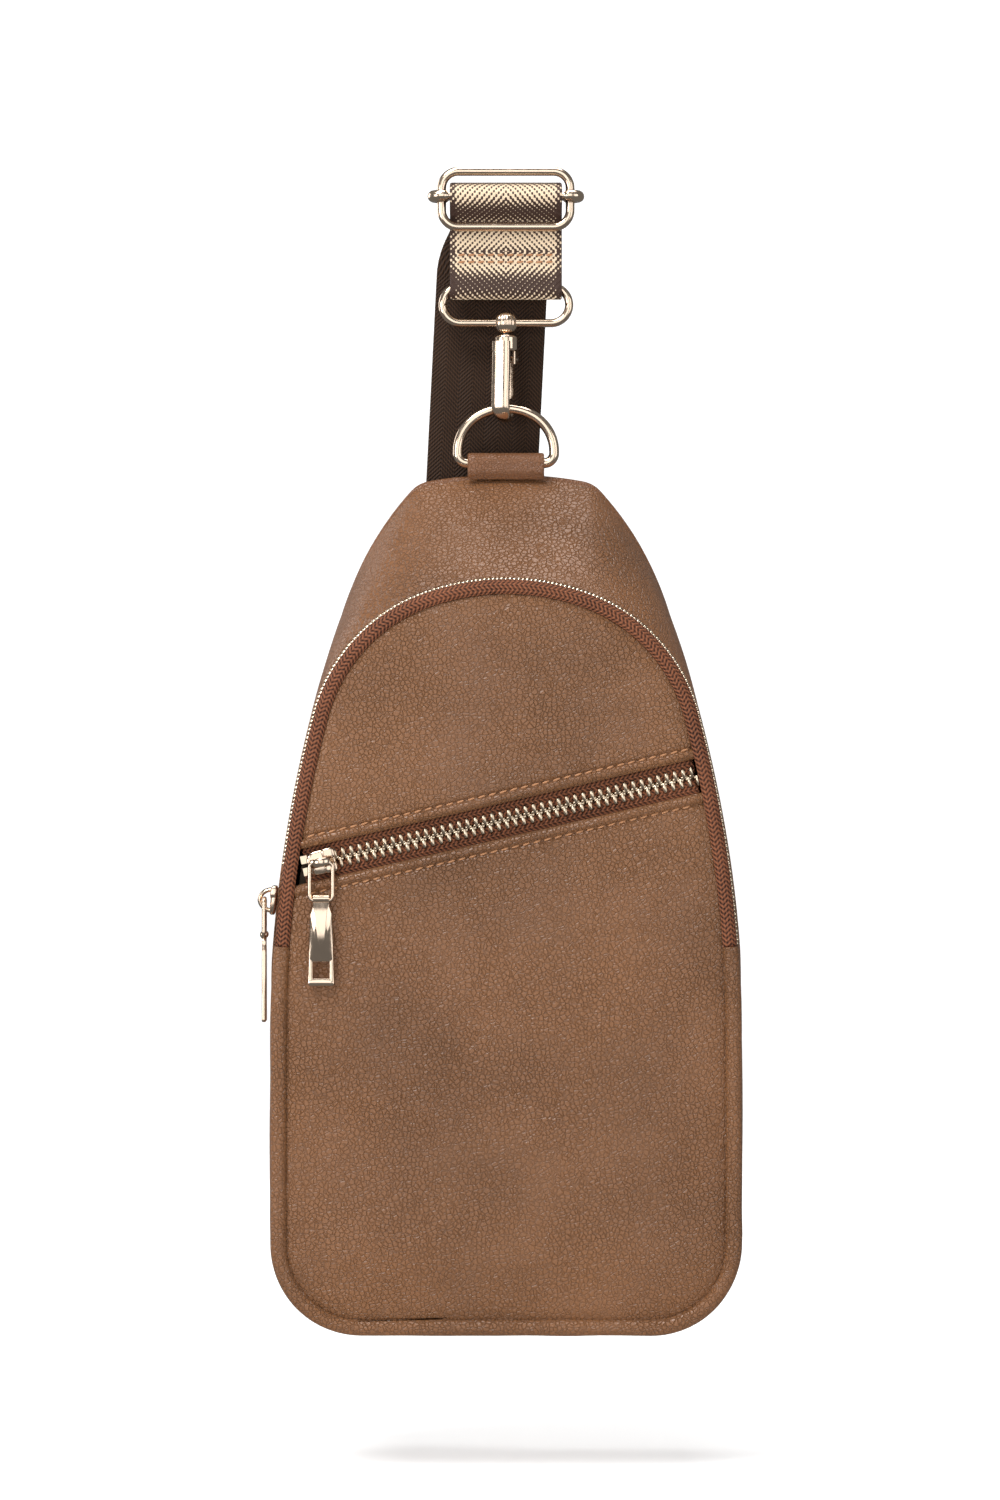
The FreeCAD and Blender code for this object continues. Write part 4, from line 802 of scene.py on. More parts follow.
@dataclass
class BagBody:
    """The bag's fixed leather: lower gusset, crown, back panel and the rolled rims."""

    bulge: float = 0.6 * MM
    crown_bulge: float = 1.2 * MM
    leather: float = 1.5 * MM
    rows: int = 52
    columns: int = 420

    def wall(self, q: np.ndarray, y: np.ndarray, bulge: np.ndarray | float) -> np.ndarray:
        """Places on the wall between the back and front outlines.

        Formula: lerp(back place, front place, share of the taper) + normal * bulge * sine of the depth
        share * slight unevenness, with the taper done at the front of the loft.

        Args:
            q: (n,) places on the outlines.
            y: (m,) depths.
            bulge: outward swell in metres, one or (n,).

        Returns:
            (n, m, 3) points.
        """
        back, back_normal = BACK.at(q)
        front, front_normal = FRONT.at(q)
        share = np.clip((BACK_Y - y) / (BACK_Y - TAPER_Y), 0, 1)[None, :, None]
        spots = back[:, None] * (1 - share) + front[:, None] * share
        normal = unit(back_normal[:, None] * (1 - share) + front_normal[:, None] * share)
        across = np.clip((BACK_Y - y) / (BACK_Y - FRONT_Y), 0, 1)
        swell = np.sin(np.pi * across)[None] ** 0.8 * np.broadcast_to(bulge, q.shape)[:, None]
        run = q[:, None] * 30 * MM
        swell = swell * (1 + 0.10 * wave(run, y[None], 7, 60 * MM))
        swell = swell + 0.25 * MM * wave(run, y[None], 3, 30 * MM)
        edge = smooth(0, 0.12, across) * smooth(0, 0.12, 1 - across)
        return solid(spots + normal * (swell * edge[None])[..., None], y[None])

    def shell(self, name: str, first: float, last: float, y: np.ndarray, bulge: float) -> bpy.types.Object:
        """A stretch of the wall as leather of even thickness.

        Args:
            name: the piece's name.
            first, last: q of its two ends.
            y: depths of its columns.
            bulge: outward swell in metres.

        Returns:
            The leather, with its thickness applied.
        """
        q = FRONT.even(first, last, self.columns)
        obj = grid_object(name, self.wall(q, y, bulge), flip=True)
        extra(obj, "SOLIDIFY", thickness=self.leather, offset=-1.0)
        extra(obj, "BEVEL", width=0.35 * MM, segments=2, limit_method="ANGLE")
        return apply_modifiers(obj)

    def build_gusset(self) -> None:
        """Lower gusset around the base, and the crown over the top."""
        end = FRONT.level(ZIP_END)
        y = BACK_Y - 0.4 * MM - (BACK_Y - FRONT_Y - 0.4 * MM) * np.linspace(0, 1, self.rows)
        gusset = self.shell("gusset_leather", -end, end, y, self.bulge)
        settle(gusset, LEATHER, "leather_body", "bag", "lower_gusset")
        y = BACK_Y - 0.4 * MM - (BACK_Y - TAPER_Y - 0.2 * MM) * np.linspace(0, 1, self.rows)
        crown = self.shell("crown_leather", end - 0.02, 2 * HALF_TURN - end + 0.02, y, self.crown_bulge)
        settle(crown, LIT_CROWN_LEATHER, "leather_trim", "bag", "crown_gusset")

    def rolled_edge(self, name: str, outline: Outline, span: tuple[float, float], inset: float, y: float,
                    radius: float, material: bpy.types.Material) -> bpy.types.Object:
        """A rolled leather edge: a round profile carried along the outline, closed or between two places."""
        closed = span[1] - span[0] >= 2 * HALF_TURN - 1e-9
        q = outline.even(*span, 401)
        spots, _ = outline.at(q, inset)
        path = solid(spots, y)
        path = path[:-1] if closed else path
        swell = radius * (1 + 0.05 * wave(path[:, 0], path[:, 2], 11, 25 * MM))
        obj = tube(name, path, swell, (0, 1, 0), closed, 16)
        return dress(obj, material)

    def build_rims(self) -> None:
        """Rolled rim of the lower front edge and the piped seam at the back."""
        end = FRONT.level(ZIP_END)
        rim = self.rolled_edge("front_rim_leather", FRONT, (-end, end), 2.75 * MM, FRONT_Y - 0.4 * MM,
                               2.75 * MM, LEATHER)
        place(rim, "bag", "front_rim")
        piping = self.rolled_edge("back_piping", BACK, (0.0, 2 * HALF_TURN), 1.2 * MM, BACK_Y + 0.2 * MM,
                                  1.5 * MM, TRIM_LEATHER)
        place(piping, "bag")

    def build_back(self) -> None:
        """Padded back panel: polar grid from the seam to the middle, crowned behind and flat in front.

        Formula: place = middle + share * (outline - middle); depth = depth at the seam + swell of the
        distance from the seam, minus three shallow sewn channels across.
        """
        q = BACK.even(0.0, 2 * HALF_TURN, 361)[:-1]
        rim, _ = BACK.at(q, 2.2 * MM)
        middle = np.array([0.0, 130 * MM])
        share = np.concatenate([np.linspace(1.0, 0.93, 9), np.linspace(0.92, 0.0, 60)])
        spots = middle + share[:, None, None] * (rim - middle)[None]
        inner = np.linalg.norm(rim - middle, axis=1)[None] * (1 - share)[:, None]
        swell = 3.0 * MM * (1 - np.exp(-inner / (7 * MM)))
        channel = sum(np.exp(-(((spots[..., 1] - level) / (1.6 * MM)) ** 2)) for level in
                      (60 * MM, 120 * MM, 180 * MM))
        swell = swell - 1.3 * MM * channel * smooth(10 * MM, 22 * MM, inner)
        swell = swell + 0.12 * MM * wave(spots[..., 0], spots[..., 1], 5, 40 * MM)
        rear = solid(spots, BACK_Y - 0.6 * MM + swell)
        front = solid(spots[::-1], BACK_Y - 1.6 * MM)
        obj = grid_object("back_panel_padded", np.concatenate([rear[::-1], front[::-1]]), False, True)
        dress(merge_poles(obj, 1e-5), BACK_LEATHER)
        place(obj, "bag", "back_panel")

    def build(self) -> None:
        """Build every piece of the body."""
        self.build_gusset()
        self.build_rims()
        self.build_back()


@dataclass
class FrontPanel:
    """The two leathers of the front, their folded lips over the pocket zip, and their relief."""

    left: tuple[float, float] = (-61.8 * MM, 155.4 * MM)
    right: tuple[float, float] = (62.8 * MM, 184.0 * MM)
    slot: float = 5.6 * MM
    thick: float = 1.5 * MM
    seam_y: float = FRONT_Y - 0.7 * MM
    rows: int = 190
    columns: int = 210
    rim_spots: np.ndarray = field(init=False)

    def __post_init__(self) -> None:
        """Sample the seam once for distances."""
        self.rim_spots = FRONT.at(FRONT.even(0.0, 2 * HALF_TURN, 600), PANEL_INSET)[0]

    def way(self) -> np.ndarray:
        """Unit direction of the pocket zip, to the right."""
        return unit(np.array(self.right) - np.array(self.left))

    def zip_height(self, x: np.ndarray) -> np.ndarray:
        """Height of the pocket zip's straight line at x."""
        slope = (self.right[1] - self.left[1]) / (self.right[0] - self.left[0])
        return self.left[1] + (x - self.left[0]) * slope

    def above(self, spots: np.ndarray) -> np.ndarray:
        """Signed distance above the pocket zip's line."""
        way = self.way()
        away = spots - np.array(self.left)
        return -away[..., 0] * way[1] + away[..., 1] * way[0]

    def seam_distance(self, spots: np.ndarray) -> np.ndarray:
        """Distance to the panel's outer seam: the least over its samples."""
        flat = spots.reshape(-1, 2).astype(np.float32)
        rim = self.rim_spots.astype(np.float32)
        best = np.full(len(flat), 1.0, np.float32)
        for part in np.array_split(rim, 12):
            gap = flat[:, None] - part[None]
            best = np.minimum(best, np.sqrt((gap ** 2).sum(-1)).min(1))
        return best.reshape(spots.shape[:-1]).astype(float)

    def depth(self, spots: np.ndarray) -> np.ndarray:
        """Depth y of the leather's face.

        Formula: seam depth, less a quick rise over the first millimetres from the seam, a slow dome, and
        the fold of the lips beside the zip, plus a shallow groove along each stitch row and soft waves.
        """
        seam = self.seam_distance(spots)
        lip = np.abs(self.above(spots)) - self.slot
        rise = 1.5 * MM * (1 - np.exp(-seam / (2.4 * MM))) + 1.9 * MM * smooth(2 * MM, 60 * MM, seam)
        roll = 1.7 * MM
        fold = roll * np.sqrt(np.clip(1 - (np.clip(lip, 0, roll) / roll - 1) ** 2, 0, 1)) - roll
        raised = 0.5 * MM * np.exp(-((lip - 1.9 * MM) / (1.4 * MM)) ** 2)
        stitch = 0.8 * MM * np.exp(-((lip - 3.6 * MM) / (0.7 * MM)) ** 2)
        bottom = 0.9 * MM * np.exp(-((spots[..., 1] - 26 * MM) / (16 * MM)) ** 2) * smooth(0, 20 * MM, seam)
        uneven = 0.16 * MM * wave(spots[..., 0], spots[..., 1], 21, 55 * MM) * smooth(0, 12 * MM, seam)
        fold = fold * smooth(0, 3 * MM, seam + 2 * MM)
        return self.seam_y - rise - fold - raised + stitch - bottom - uneven

    def sheet_points(self, lip_below: bool) -> np.ndarray:
        """Grid of x and height of one leather.

        Formula: x = u * half-width at the height; height = lerp(lower edge at x, upper edge at x, v), solved
        by repeating both a few times. The lower leather runs from the base seam to the slot, the upper
        one from the slot to the top of the arch.
        """
        u = np.sin(np.linspace(-1, 1, self.columns) * np.pi / 2)[None]
        v = (1 - np.cos(np.linspace(0, 1, self.rows) * np.pi)) / 2
        v = v[:, None]
        way = self.way()
        offset = self.slot / way[0]
        floor, top = FRONT.base + PANEL_INSET, FRONT.top - PANEL_INSET
        x = np.zeros((self.rows, self.columns))
        for _ in range(24):
            line = self.zip_height(x)
            low_edge = np.full_like(x, floor) if lip_below else line + offset
            high_edge = line - offset if lip_below else np.full_like(x, top)
            height = low_edge + (high_edge - low_edge) * v
            x = 0.5 * x + 0.5 * u * self.panel_half(height)
        return np.stack([x, height], -1)

    def panel_half(self, height: np.ndarray) -> np.ndarray:
        """Half-width of the panel at a height, down to nothing at its base line and top."""
        fine = np.linspace(0.0, HALF_TURN, 9000)
        spots, _ = FRONT.at(fine, PANEL_INSET)
        keep = np.concatenate([[True], np.diff(spots[:, 1]) > 0])
        return np.interp(height, spots[keep, 1], spots[keep, 0])

    def leather(self, name: str, lip_below: bool) -> bpy.types.Object:
        """One leather of the front as a closed shell with rolled edges."""
        spots = self.sheet_points(lip_below)
        obj = grid_object(name, solid(spots, self.depth(spots)), flip=True)
        merge_poles(obj, 1e-5)
        if np.mean([p.normal.y for p in obj.data.polygons[:200]]) > 0:
            obj.data.flip_normals()
        extra(obj, "SOLIDIFY", thickness=self.thick, offset=-1.0)
        return apply_modifiers(obj)

    def build(self) -> None:
        """Lower leather across the opening fold, and the upper leather."""
        lower = self.leather("front_leather_lower", True)
        dress(lower, LEATHER)
        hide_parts("front_panel_lower", "front_panel_middle")
        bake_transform(lower)
        upper = self.leather("front_leather_upper", False)
        settle(upper, LEATHER, "leather_trim", "front_flap", "front_panel_upper")


# ------------------------------------------------------------------------------------ zips and stitches


def repeated(name: str, template: np.ndarray, faces: np.ndarray, centre: np.ndarray,
             axes: np.ndarray) -> bpy.types.Object:
    """Copies of a small closed shape, one at each place.

    Formula: point = centre + template_a * axis 0 + template_b * axis 1 + template_c * axis 2.

    Args:
        name: the piece's name.
        template: (k, 3) points of the shape in its own axes.
        faces: (m, 4) corner indices.
        centre: (n, 3) places.
        axes: (n, 3, 3) rows are the directions of the shape's axes.

    Returns:
        One object with every copy.
    """
    points = centre[:, None] + np.einsum("kc,ncd->nkd", template, axes)
    every = faces[None] + (np.arange(len(centre)) * len(template))[:, None, None]
    return new_object(name, points.reshape(-1, 3), every.reshape(-1, 4))


def lozenge(long: float, wide: float, tall: float, sides: int = 8, power: float = 0.45,
            rings: int = 5) -> tuple[np.ndarray, np.ndarray]:
    """A rounded block: a superellipsoid, whose sine and cosine are raised to a power below one.

    Args:
        long, wide, tall: sizes along its three axes.
        sides: points around.
        power: below one for a boxier shape.
        rings: rings between the poles.

    Returns:
        Points (k, 3) and faces (m, 4), closed at both ends by tiny rings.
    """
    def boxy(value: np.ndarray) -> np.ndarray:
        """The value's size raised to the power, with its sign kept."""
        return np.sign(value) * np.abs(value) ** power

    lat = np.linspace(-np.pi / 2 + 0.02, np.pi / 2 - 0.02, rings)[:, None]
    lon = (np.linspace(0, 2 * np.pi, sides, endpoint=False) + np.pi / sides)[None]
    points = np.stack([
        boxy(np.sin(lat)) * np.ones_like(lon) * long / 2,
        boxy(np.cos(lat)) * boxy(np.cos(lon)) * wide / 2,
        boxy(np.cos(lat)) * boxy(np.sin(lon)) * tall / 2,
    ], -1)
    caps = [np.broadcast_to(points[i].mean(0), points[i].shape)[None] for i in (0, -1)]
    points = np.concatenate([caps[0], points, caps[1]])
    rows = rings + 2
    faces = grid_faces(rows, sides, False, True)
    return points.reshape(-1, 3), faces


def stitch_row(name: str, path: np.ndarray, outward: np.ndarray, long: float = 2.6 * MM,
               gap: float = 1.0 * MM, thick: float = 0.8 * MM) -> bpy.types.Object:
    """A row of stitches along a path, each sunk at its ends.

    Args:
        name: the piece's name.
        path: (n, 3) line on the surface.
        outward: (3,) or (n, 3) direction away from the surface.
        long: stitch length.
        gap: space between stitches.
        thick: thread thickness.

    Returns:
        The row's object.
    """
    run = travelled(path)
    spots = np.arange(long / 2 + 0.3 * MM, run[-1] - long / 2, long + gap)
    centre = np.stack([np.interp(spots, run, path[:, i]) for i in range(3)], -1)
    way = np.stack([np.interp(spots, run, tangents(path, False)[:, i]) for i in range(3)], -1)
    out = np.broadcast_to(outward, path.shape)
    out = unit(np.stack([np.interp(spots, run, out[:, i]) for i in range(3)], -1))
    way = unit(way)
    side = unit(np.cross(out, way))
    lean = unit(way + 0.10 * side)
    axes = np.stack([lean, side, out], 1)
    points, faces = lozenge(long, thick, thick * 0.9, 6, 0.8, 5)
    obj = repeated(name, points, faces, centre, axes)
    return merge_poles(obj, 1e-7)


@dataclass
class MouthZip:
    """Main zip around the mouth: two tapes and two rows of teeth."""

    teeth_y: float = FRONT_Y + 5.0 * MM
    teeth_inset: float = 0.75 * MM
    pitch: float = 2.8 * MM
    stations: int = 420

    def span(self) -> tuple[float, float]:
        """q of the zip's two ends, right and left."""
        end = FRONT.level(ZIP_END)
        return end, 2 * HALF_TURN - end

    def band(self, name: str, profile: list[tuple[float, float]],
             span: tuple[float, float]) -> bpy.types.Object:
        """A tape: a smooth curve through inset and depth pairs, carried along the arch.

        Formula: the profile's corners are sampled evenly and rounded by averaging with their neighbours;
        place = arch place - normal * inset.

        Args:
            name: the piece's name.
            profile: pairs of inset and y.
            span: q of its two ends.

        Returns:
            The tape, with its UV map in metres.
        """
        knots = np.array(profile)
        run = travelled(knots)
        fine = np.linspace(0, run[-1], 26)
        curve = np.stack([np.interp(fine, run, knots[:, i]) for i in range(2)], -1)
        for _ in range(4):
            curve[1:-1] = (curve[:-2] + 2 * curve[1:-1] + curve[2:]) / 4
        q = FRONT.even(*span, self.stations)
        spots, normals = FRONT.at(q, 0.0)
        place_at = spots[:, None] - normals[:, None] * curve[None, :, :1]
        points = solid(place_at, curve[None, :, 1])
        along = travelled(spots)
        uv = np.stack(np.broadcast_arrays(fine[None], along[:, None]), -1)
        obj = grid_object(name, points, uv=uv, flip=True)
        extra(obj, "SOLIDIFY", thickness=0.55 * MM, offset=-1.0)
        return apply_modifiers(obj)

    def teeth(self, name: str, sign: float, phase: float) -> bpy.types.Object:
        """One row of teeth around the arch.

        Args:
            name: the piece's name.
            sign: -1 for the front row and 1 for the rear row.
            phase: shift along the zip, in pitches.

        Returns:
            The row.
        """
        first, last = self.span()
        slider = 2 * HALF_TURN - FRONT.level(149.5 * MM)
        last = min(last, slider)
        total = FRONT.length(first, last, self.teeth_inset)
        count = int(total / self.pitch) - 1
        fine = FRONT.even(first, last, 2000, self.teeth_inset)
        share = (np.arange(count) + 0.5 + phase) * self.pitch / total
        q = np.interp(share, np.linspace(0, 1, 2000), fine)
        spots, normals = FRONT.at(q, self.teeth_inset)
        centre = solid(spots, self.teeth_y + sign * 1.55 * MM)
        out = np.stack([normals[:, 0], np.zeros(count), normals[:, 1]], -1)
        depth = np.broadcast_to([0.0, 1.0, 0.0], out.shape)
        along = np.cross(out, depth)
        points, faces = lozenge(1.45 * MM, 2.9 * MM, 2.5 * MM)
        obj = repeated(name, points, faces, centre, np.stack([along, depth, out], 1))
        return merge_poles(obj, 1e-7)

    def build(self) -> None:
        """Tapes and teeth."""
        span = self.span()
        y = self.teeth_y
        inner = PANEL_INSET - 0.3 * MM
        front = self.band("mouth_tape_front", [(inner, FRONT_Y - 0.8 * MM), (4.0 * MM, FRONT_Y - 1.6 * MM),
                                               (2.2 * MM, FRONT_Y - 1.4 * MM), (0.9 * MM, FRONT_Y + 0.2 * MM),
                                               (0.8 * MM, y - 1.4 * MM)], span)
        settle(front, TAPE, "zip_tape", "front_flap", "main_zip_front_tape")
        rear = self.band("mouth_tape_rear", [(0.8 * MM, y + 1.4 * MM), (0.8 * MM, y + 4.5 * MM),
                                             (1.3 * MM, TAPER_Y + 1.0 * MM)], span)
        settle(rear, TAPE, "zip_tape", "bag", "main_zip_rear_tape")
        for name, sign, phase, body in (("mouth_teeth_front", -1.0, 0.25, "front_flap"),
                                        ("mouth_teeth_rear", 1.0, -0.25, "bag")):
            row = self.teeth(name, sign, phase)
            settle(row, ZIP_METAL, "zip_metal", body, name.replace("mouth_teeth", "main_zip") + "_teeth")


@dataclass
class PocketZip:
    """Slanted pocket zip: two tapes and two rows of chunky teeth."""

    panel: FrontPanel
    teeth_y: float = FRONT_Y + 1.6 * MM
    pitch: float = 2.8 * MM
    reach: float = 3.7 * MM

    def line(self, run: np.ndarray, away: np.ndarray | float, y: np.ndarray | float) -> np.ndarray:
        """Places at a run along the zip and a distance above its line."""
        way = self.panel.way()
        up = np.array([-way[1], way[0]])
        start = np.array(self.panel.left)
        spots = start + run[..., None] * way + np.asarray(away)[..., None] * up
        return solid(spots, y)

    def build(self) -> None:
        """Tapes under the lips, teeth and the two stitch rows."""
        long = float(np.linalg.norm(np.array(self.panel.right) - np.array(self.panel.left)))
        self.tapes(long)
        way = self.panel.way()
        for name, sign, phase in (("upper", 1.0, 0.0), ("lower", -1.0, 0.5)):
            run = np.arange(6.0 * MM + phase * self.pitch, long + 1.0 * MM, self.pitch)
            centre = self.line(run, sign * 1.75 * MM, self.teeth_y - 0.2 * MM)
            points, faces = self.tooth(sign)
            axes = np.array([[way[0], 0, way[1]], [-way[1], 0, way[0]], [0, -1, 0]])
            axes = np.broadcast_to(axes, (len(run), 3, 3))
            row = repeated("pocket_teeth_" + name, points, faces, centre, axes)
            dress(merge_poles(row, 1e-7), ZIP_METAL)
            place(row, "front_flap", "pocket_zip_%s_teeth" % name)
        run = np.linspace(-5.5 * MM, long + 3.5 * MM, 220)
        for name, sign in (("upper", 1.0), ("lower", -1.0)):
            away = sign * (self.panel.slot + 3.6 * MM)
            flat = self.line(run, away, 0.0)
            spots = np.stack([flat[:, 0], flat[:, 2] - BASE_Z], -1)
            keep = self.panel.seam_distance(spots) > 1.0 * MM
            inside = np.abs(spots[:, 0]) < FRONT.half_width(spots[:, 1], PANEL_INSET)
            spots = spots[keep & inside]
            path = solid(spots, self.panel.depth(spots) - 0.2 * MM)
            row = stitch_row("pocket_stitches_" + name, path, np.array([0.0, -1.0, 0.0]))
            settle(row, THREAD, "thread", "front_flap")

    def tooth(self, sign: float) -> tuple[np.ndarray, np.ndarray]:
        """One tooth: a rounded bar across the zip with a wider rounded head at the middle of the zip.

        Args:
            sign: 1 for the upper row and -1 for the lower row.

        Returns:
            Points and faces around the tooth's own centre.
        """
        bar, bar_faces = lozenge(1.35 * MM, self.reach, 2.3 * MM, 8, 0.45)
        head, head_faces = lozenge(2.5 * MM, 1.5 * MM, 1.9 * MM, 8, 0.6)
        head = head - [0.0, sign * 1.35 * MM, 0.0]
        return np.concatenate([bar, head]), np.concatenate([bar_faces, head_faces + len(bar)])

    def tapes(self, long: float) -> None:
        """The two tapes, from the teeth out under the leather lips, with a woven UV map."""
        run = np.linspace(-5.2 * MM, long + 5.2 * MM, 160)[:, None]
        for name, sign in (("upper", 1.0), ("lower", -1.0)):
            away = sign * np.linspace(0.9 * MM, 9.6 * MM, 14)[None]
            y = self.teeth_y + 0.35 * MM - 0.5 * MM * np.sin(np.clip(np.abs(away) / (9 * MM), 0, 1) * np.pi)
            points = self.line(*np.broadcast_arrays(run, away), np.broadcast_to(y, (160, 14)))
            half = FRONT.half_width(points[..., 2] - BASE_Z, PANEL_INSET + 1.0 * MM)
            points[..., 0] = np.clip(points[..., 0], -half, half)
            uv = np.stack(np.broadcast_arrays(away, run), -1)
            tape = grid_object("pocket_tape_" + name, points, uv=uv, flip=sign < 0)
            extra(tape, "SOLIDIFY", thickness=0.5 * MM, offset=-1.0)
            apply_modifiers(tape)
            settle(tape, TAPE, "zip_tape", "front_flap", "pocket_zip_%s_tape" % name)


def star_reach(angles: np.ndarray, corners: np.ndarray) -> np.ndarray:
    """Distance from the origin to a polygon around it, along each angle.

    Formula: for each edge from a to b, reach = cross(a, b - a) / cross(ray, b - a); the least positive one
    whose crossing lies on the edge counts.

    Args:
        angles: (n,) directions.
        corners: (m, 2) corners in order.

    Returns:
        (n,) distances.
    """
    ray = np.stack([np.cos(angles), np.sin(angles)], -1)[:, None]
    start, edge = corners[None], (np.roll(corners, -1, 0) - corners)[None]
    below = ray[..., 0] * edge[..., 1] - ray[..., 1] * edge[..., 0]
    below = np.where(np.abs(below) < 1e-12, 1e-12, below)
    reach = (start[..., 0] * edge[..., 1] - start[..., 1] * edge[..., 0]) / below
    share = (start[..., 0] * ray[..., 1] - start[..., 1] * ray[..., 0]) / below
    valid = (reach > 0) & (share > -1e-6) & (share < 1 + 1e-6)
    return np.where(valid, reach, np.inf).min(1)


@dataclass
class Puller:
    """Slider and hanging plate of one zip; the bail between them is kept from the frame."""

    name: str
    along: np.ndarray
    out: np.ndarray
    plate_wide: np.ndarray

    def slider(self) -> None:
        """Slider: a shield, two shoulders, an arched bridge over the bail's pin, and a lower plate."""
        node = self.name + "_slider"
        low, high = (np.array(corner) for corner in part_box(node))
        middle = (low + high) / 2
        side = np.cross(self.out, self.along)
        axes = np.stack([self.along, side, self.out])
        top = middle + self.out * (float(np.abs(self.out) @ (high - low)) / 2 - 5.1 * MM)
        shapes = [((0.0, 0.0, 0.0), (9.4, 8.2, 2.2)), ((2.6, 2.3, 0.2), (4.6, 3.9, 2.3)),
                  ((2.6, -2.3, 0.2), (4.6, 3.9, 2.3)), ((-3.2, 0.0, 0.1), (3.2, 5.4, 2.0)),
                  ((0.0, 0.0, -3.6), (9.4, 8.2, 1.2))]
        points, faces, count = [], [], 0
        for offset, size in shapes:
            block, block_faces = lozenge(*(v * MM for v in size), 24, 0.6, 13)
            points.append(top + (block + np.array(offset) * MM) @ axes)
            faces.append(block_faces + count)
            count += len(block)
        body = new_object(self.name + "_slider_body", np.concatenate(points), np.concatenate(faces))
        merge_poles(body)
        settle(body, GOLD, "puller_metal", node, node)
        turn = np.linspace(-0.12, np.pi + 0.12, 30)
        arch = np.stack([3.5 * MM * np.cos(turn), 0 * turn, 0.4 * MM + 4.3 * MM * np.sin(turn)], -1)
        shape = circle_profile(1.0, 16) * np.array([1.5 * MM, 0.75 * MM])
        profile = np.broadcast_to(shape[None], (30, 16, 2))
        points = carried(top + arch @ axes, profile, side, False)
        bridge = closed_grid(self.name + "_slider_bridge", points)
        settle(bridge, GOLD, "puller_metal", node)

    def plate(self) -> None:
        """Plate with a square window, its edges broken by a small bevel, and the barrel it hangs from.

        Formula: rows of a ring between the window and the outer edge, found along rays from the window's
        middle; the bevel rows are set in by 0.22 mm.
        """
        node = self.name + "_pull"
        low, high = (np.array(corner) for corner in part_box(node))
        flat = np.cross(self.plate_wide, [0.0, 0.0, 1.0])
        centre = (low + high) / 2
        bottom, top = low[2], high[2] - 2.2 * MM
        hub = bottom + 5.2 * MM
        half = float(np.abs(self.plate_wide) @ (high - low)) / 2
        outer = np.array([[half, bottom - hub + 0.5 * MM], [half - 0.5 * MM, bottom - hub],
                          [-half + 0.5 * MM, bottom - hub], [-half, bottom - hub + 0.5 * MM],
                          [-0.82 * half, top - hub - 4.2 * MM], [-2.6 * MM, top - hub - 1.6 * MM],
                          [-2.6 * MM, top - hub], [2.6 * MM, top - hub], [2.6 * MM, top - hub - 1.6 * MM],
                          [0.82 * half, top - hub - 4.2 * MM]])
        window = np.array([[1, -1], [-1, -1], [-1, 1], [1, 1]]) * 2.75 * MM
        corners = np.arctan2(*np.concatenate([outer, window]).T[::-1])
        angles = np.unique(np.round(np.concatenate([corners, np.linspace(-np.pi, np.pi, 160)[:-1]]), 6))
        edge, hole = star_reach(angles, outer[::-1]), star_reach(angles, window[::-1])
        thick, bevel = 0.65 * MM, 0.22 * MM
        rows = [(hole + bevel, -thick), (edge - bevel, -thick), (edge, bevel - thick), (edge, thick - bevel),
                (edge - bevel, thick), (hole + bevel, thick), (hole, thick - bevel), (hole, bevel - thick)]
        ring = np.stack([np.cos(angles), np.sin(angles)], -1)
        middle = np.array([centre[0], centre[1], hub])
        points = np.stack([middle + (reach * ring[:, 0])[:, None] * self.plate_wide
                           + (reach * ring[:, 1])[:, None] * [0.0, 0.0, 1.0] + depth * flat
                           for reach, depth in rows])
        plate = grid_object(self.name + "_plate", points, True, True)
        settle(plate, GOLD, "puller_metal", node, node)
        run = np.linspace(-2.6 * MM, 2.6 * MM, 12)[:, None]
        barrel = tube(self.name + "_plate_barrel", np.array([centre[0], centre[1], high[2] - 1.35 * MM])
                      + run * self.plate_wide, 1.35 * MM, tuple(flat), False, 20)
        settle(barrel, GOLD, "puller_metal", node)

    def build(self) -> None:
        """Build the slider and the plate."""
        self.slider()
        self.plate()


# ------------------------------------------------------------------------------------ webbing


def ribbon(name: str, path: np.ndarray, wide: float, thick: float, start: float = 0.0,
           across: tuple[float, float, float] = (1, 0, 0)) -> bpy.types.Object:
    """Flat webbing: a rounded slab carried along a path, with its UV map in metres.

    Args:
        name: the piece's name.
        path: (n, 3) centre line.
        wide: width.
        thick: thickness.
        start: length already used, so that the pattern runs on from the piece before.
        across: direction of the width.

    Returns:
        The closed ribbon.
    """
    profile = slab_profile(wide, thick, thick * 0.42, 4)
    count = 15
    flat = np.linspace(-1, 1, count)[1:-1] * (wide / 2 - thick * 0.42)
    top = np.stack([flat[::-1], np.full(count - 2, thick / 2)], -1)
    low = np.stack([flat, np.full(count - 2, -thick / 2)], -1)
    profile = np.concatenate([profile[:4], top, profile[4:12], low, profile[12:]])
    points = carried(path, profile, np.array(across, float), False)
    run = start + travelled(path)
    uv = np.stack(np.broadcast_arrays(profile[None, :, 0], run[:, None]), -1)
    return closed_grid(name, points, False, uv)


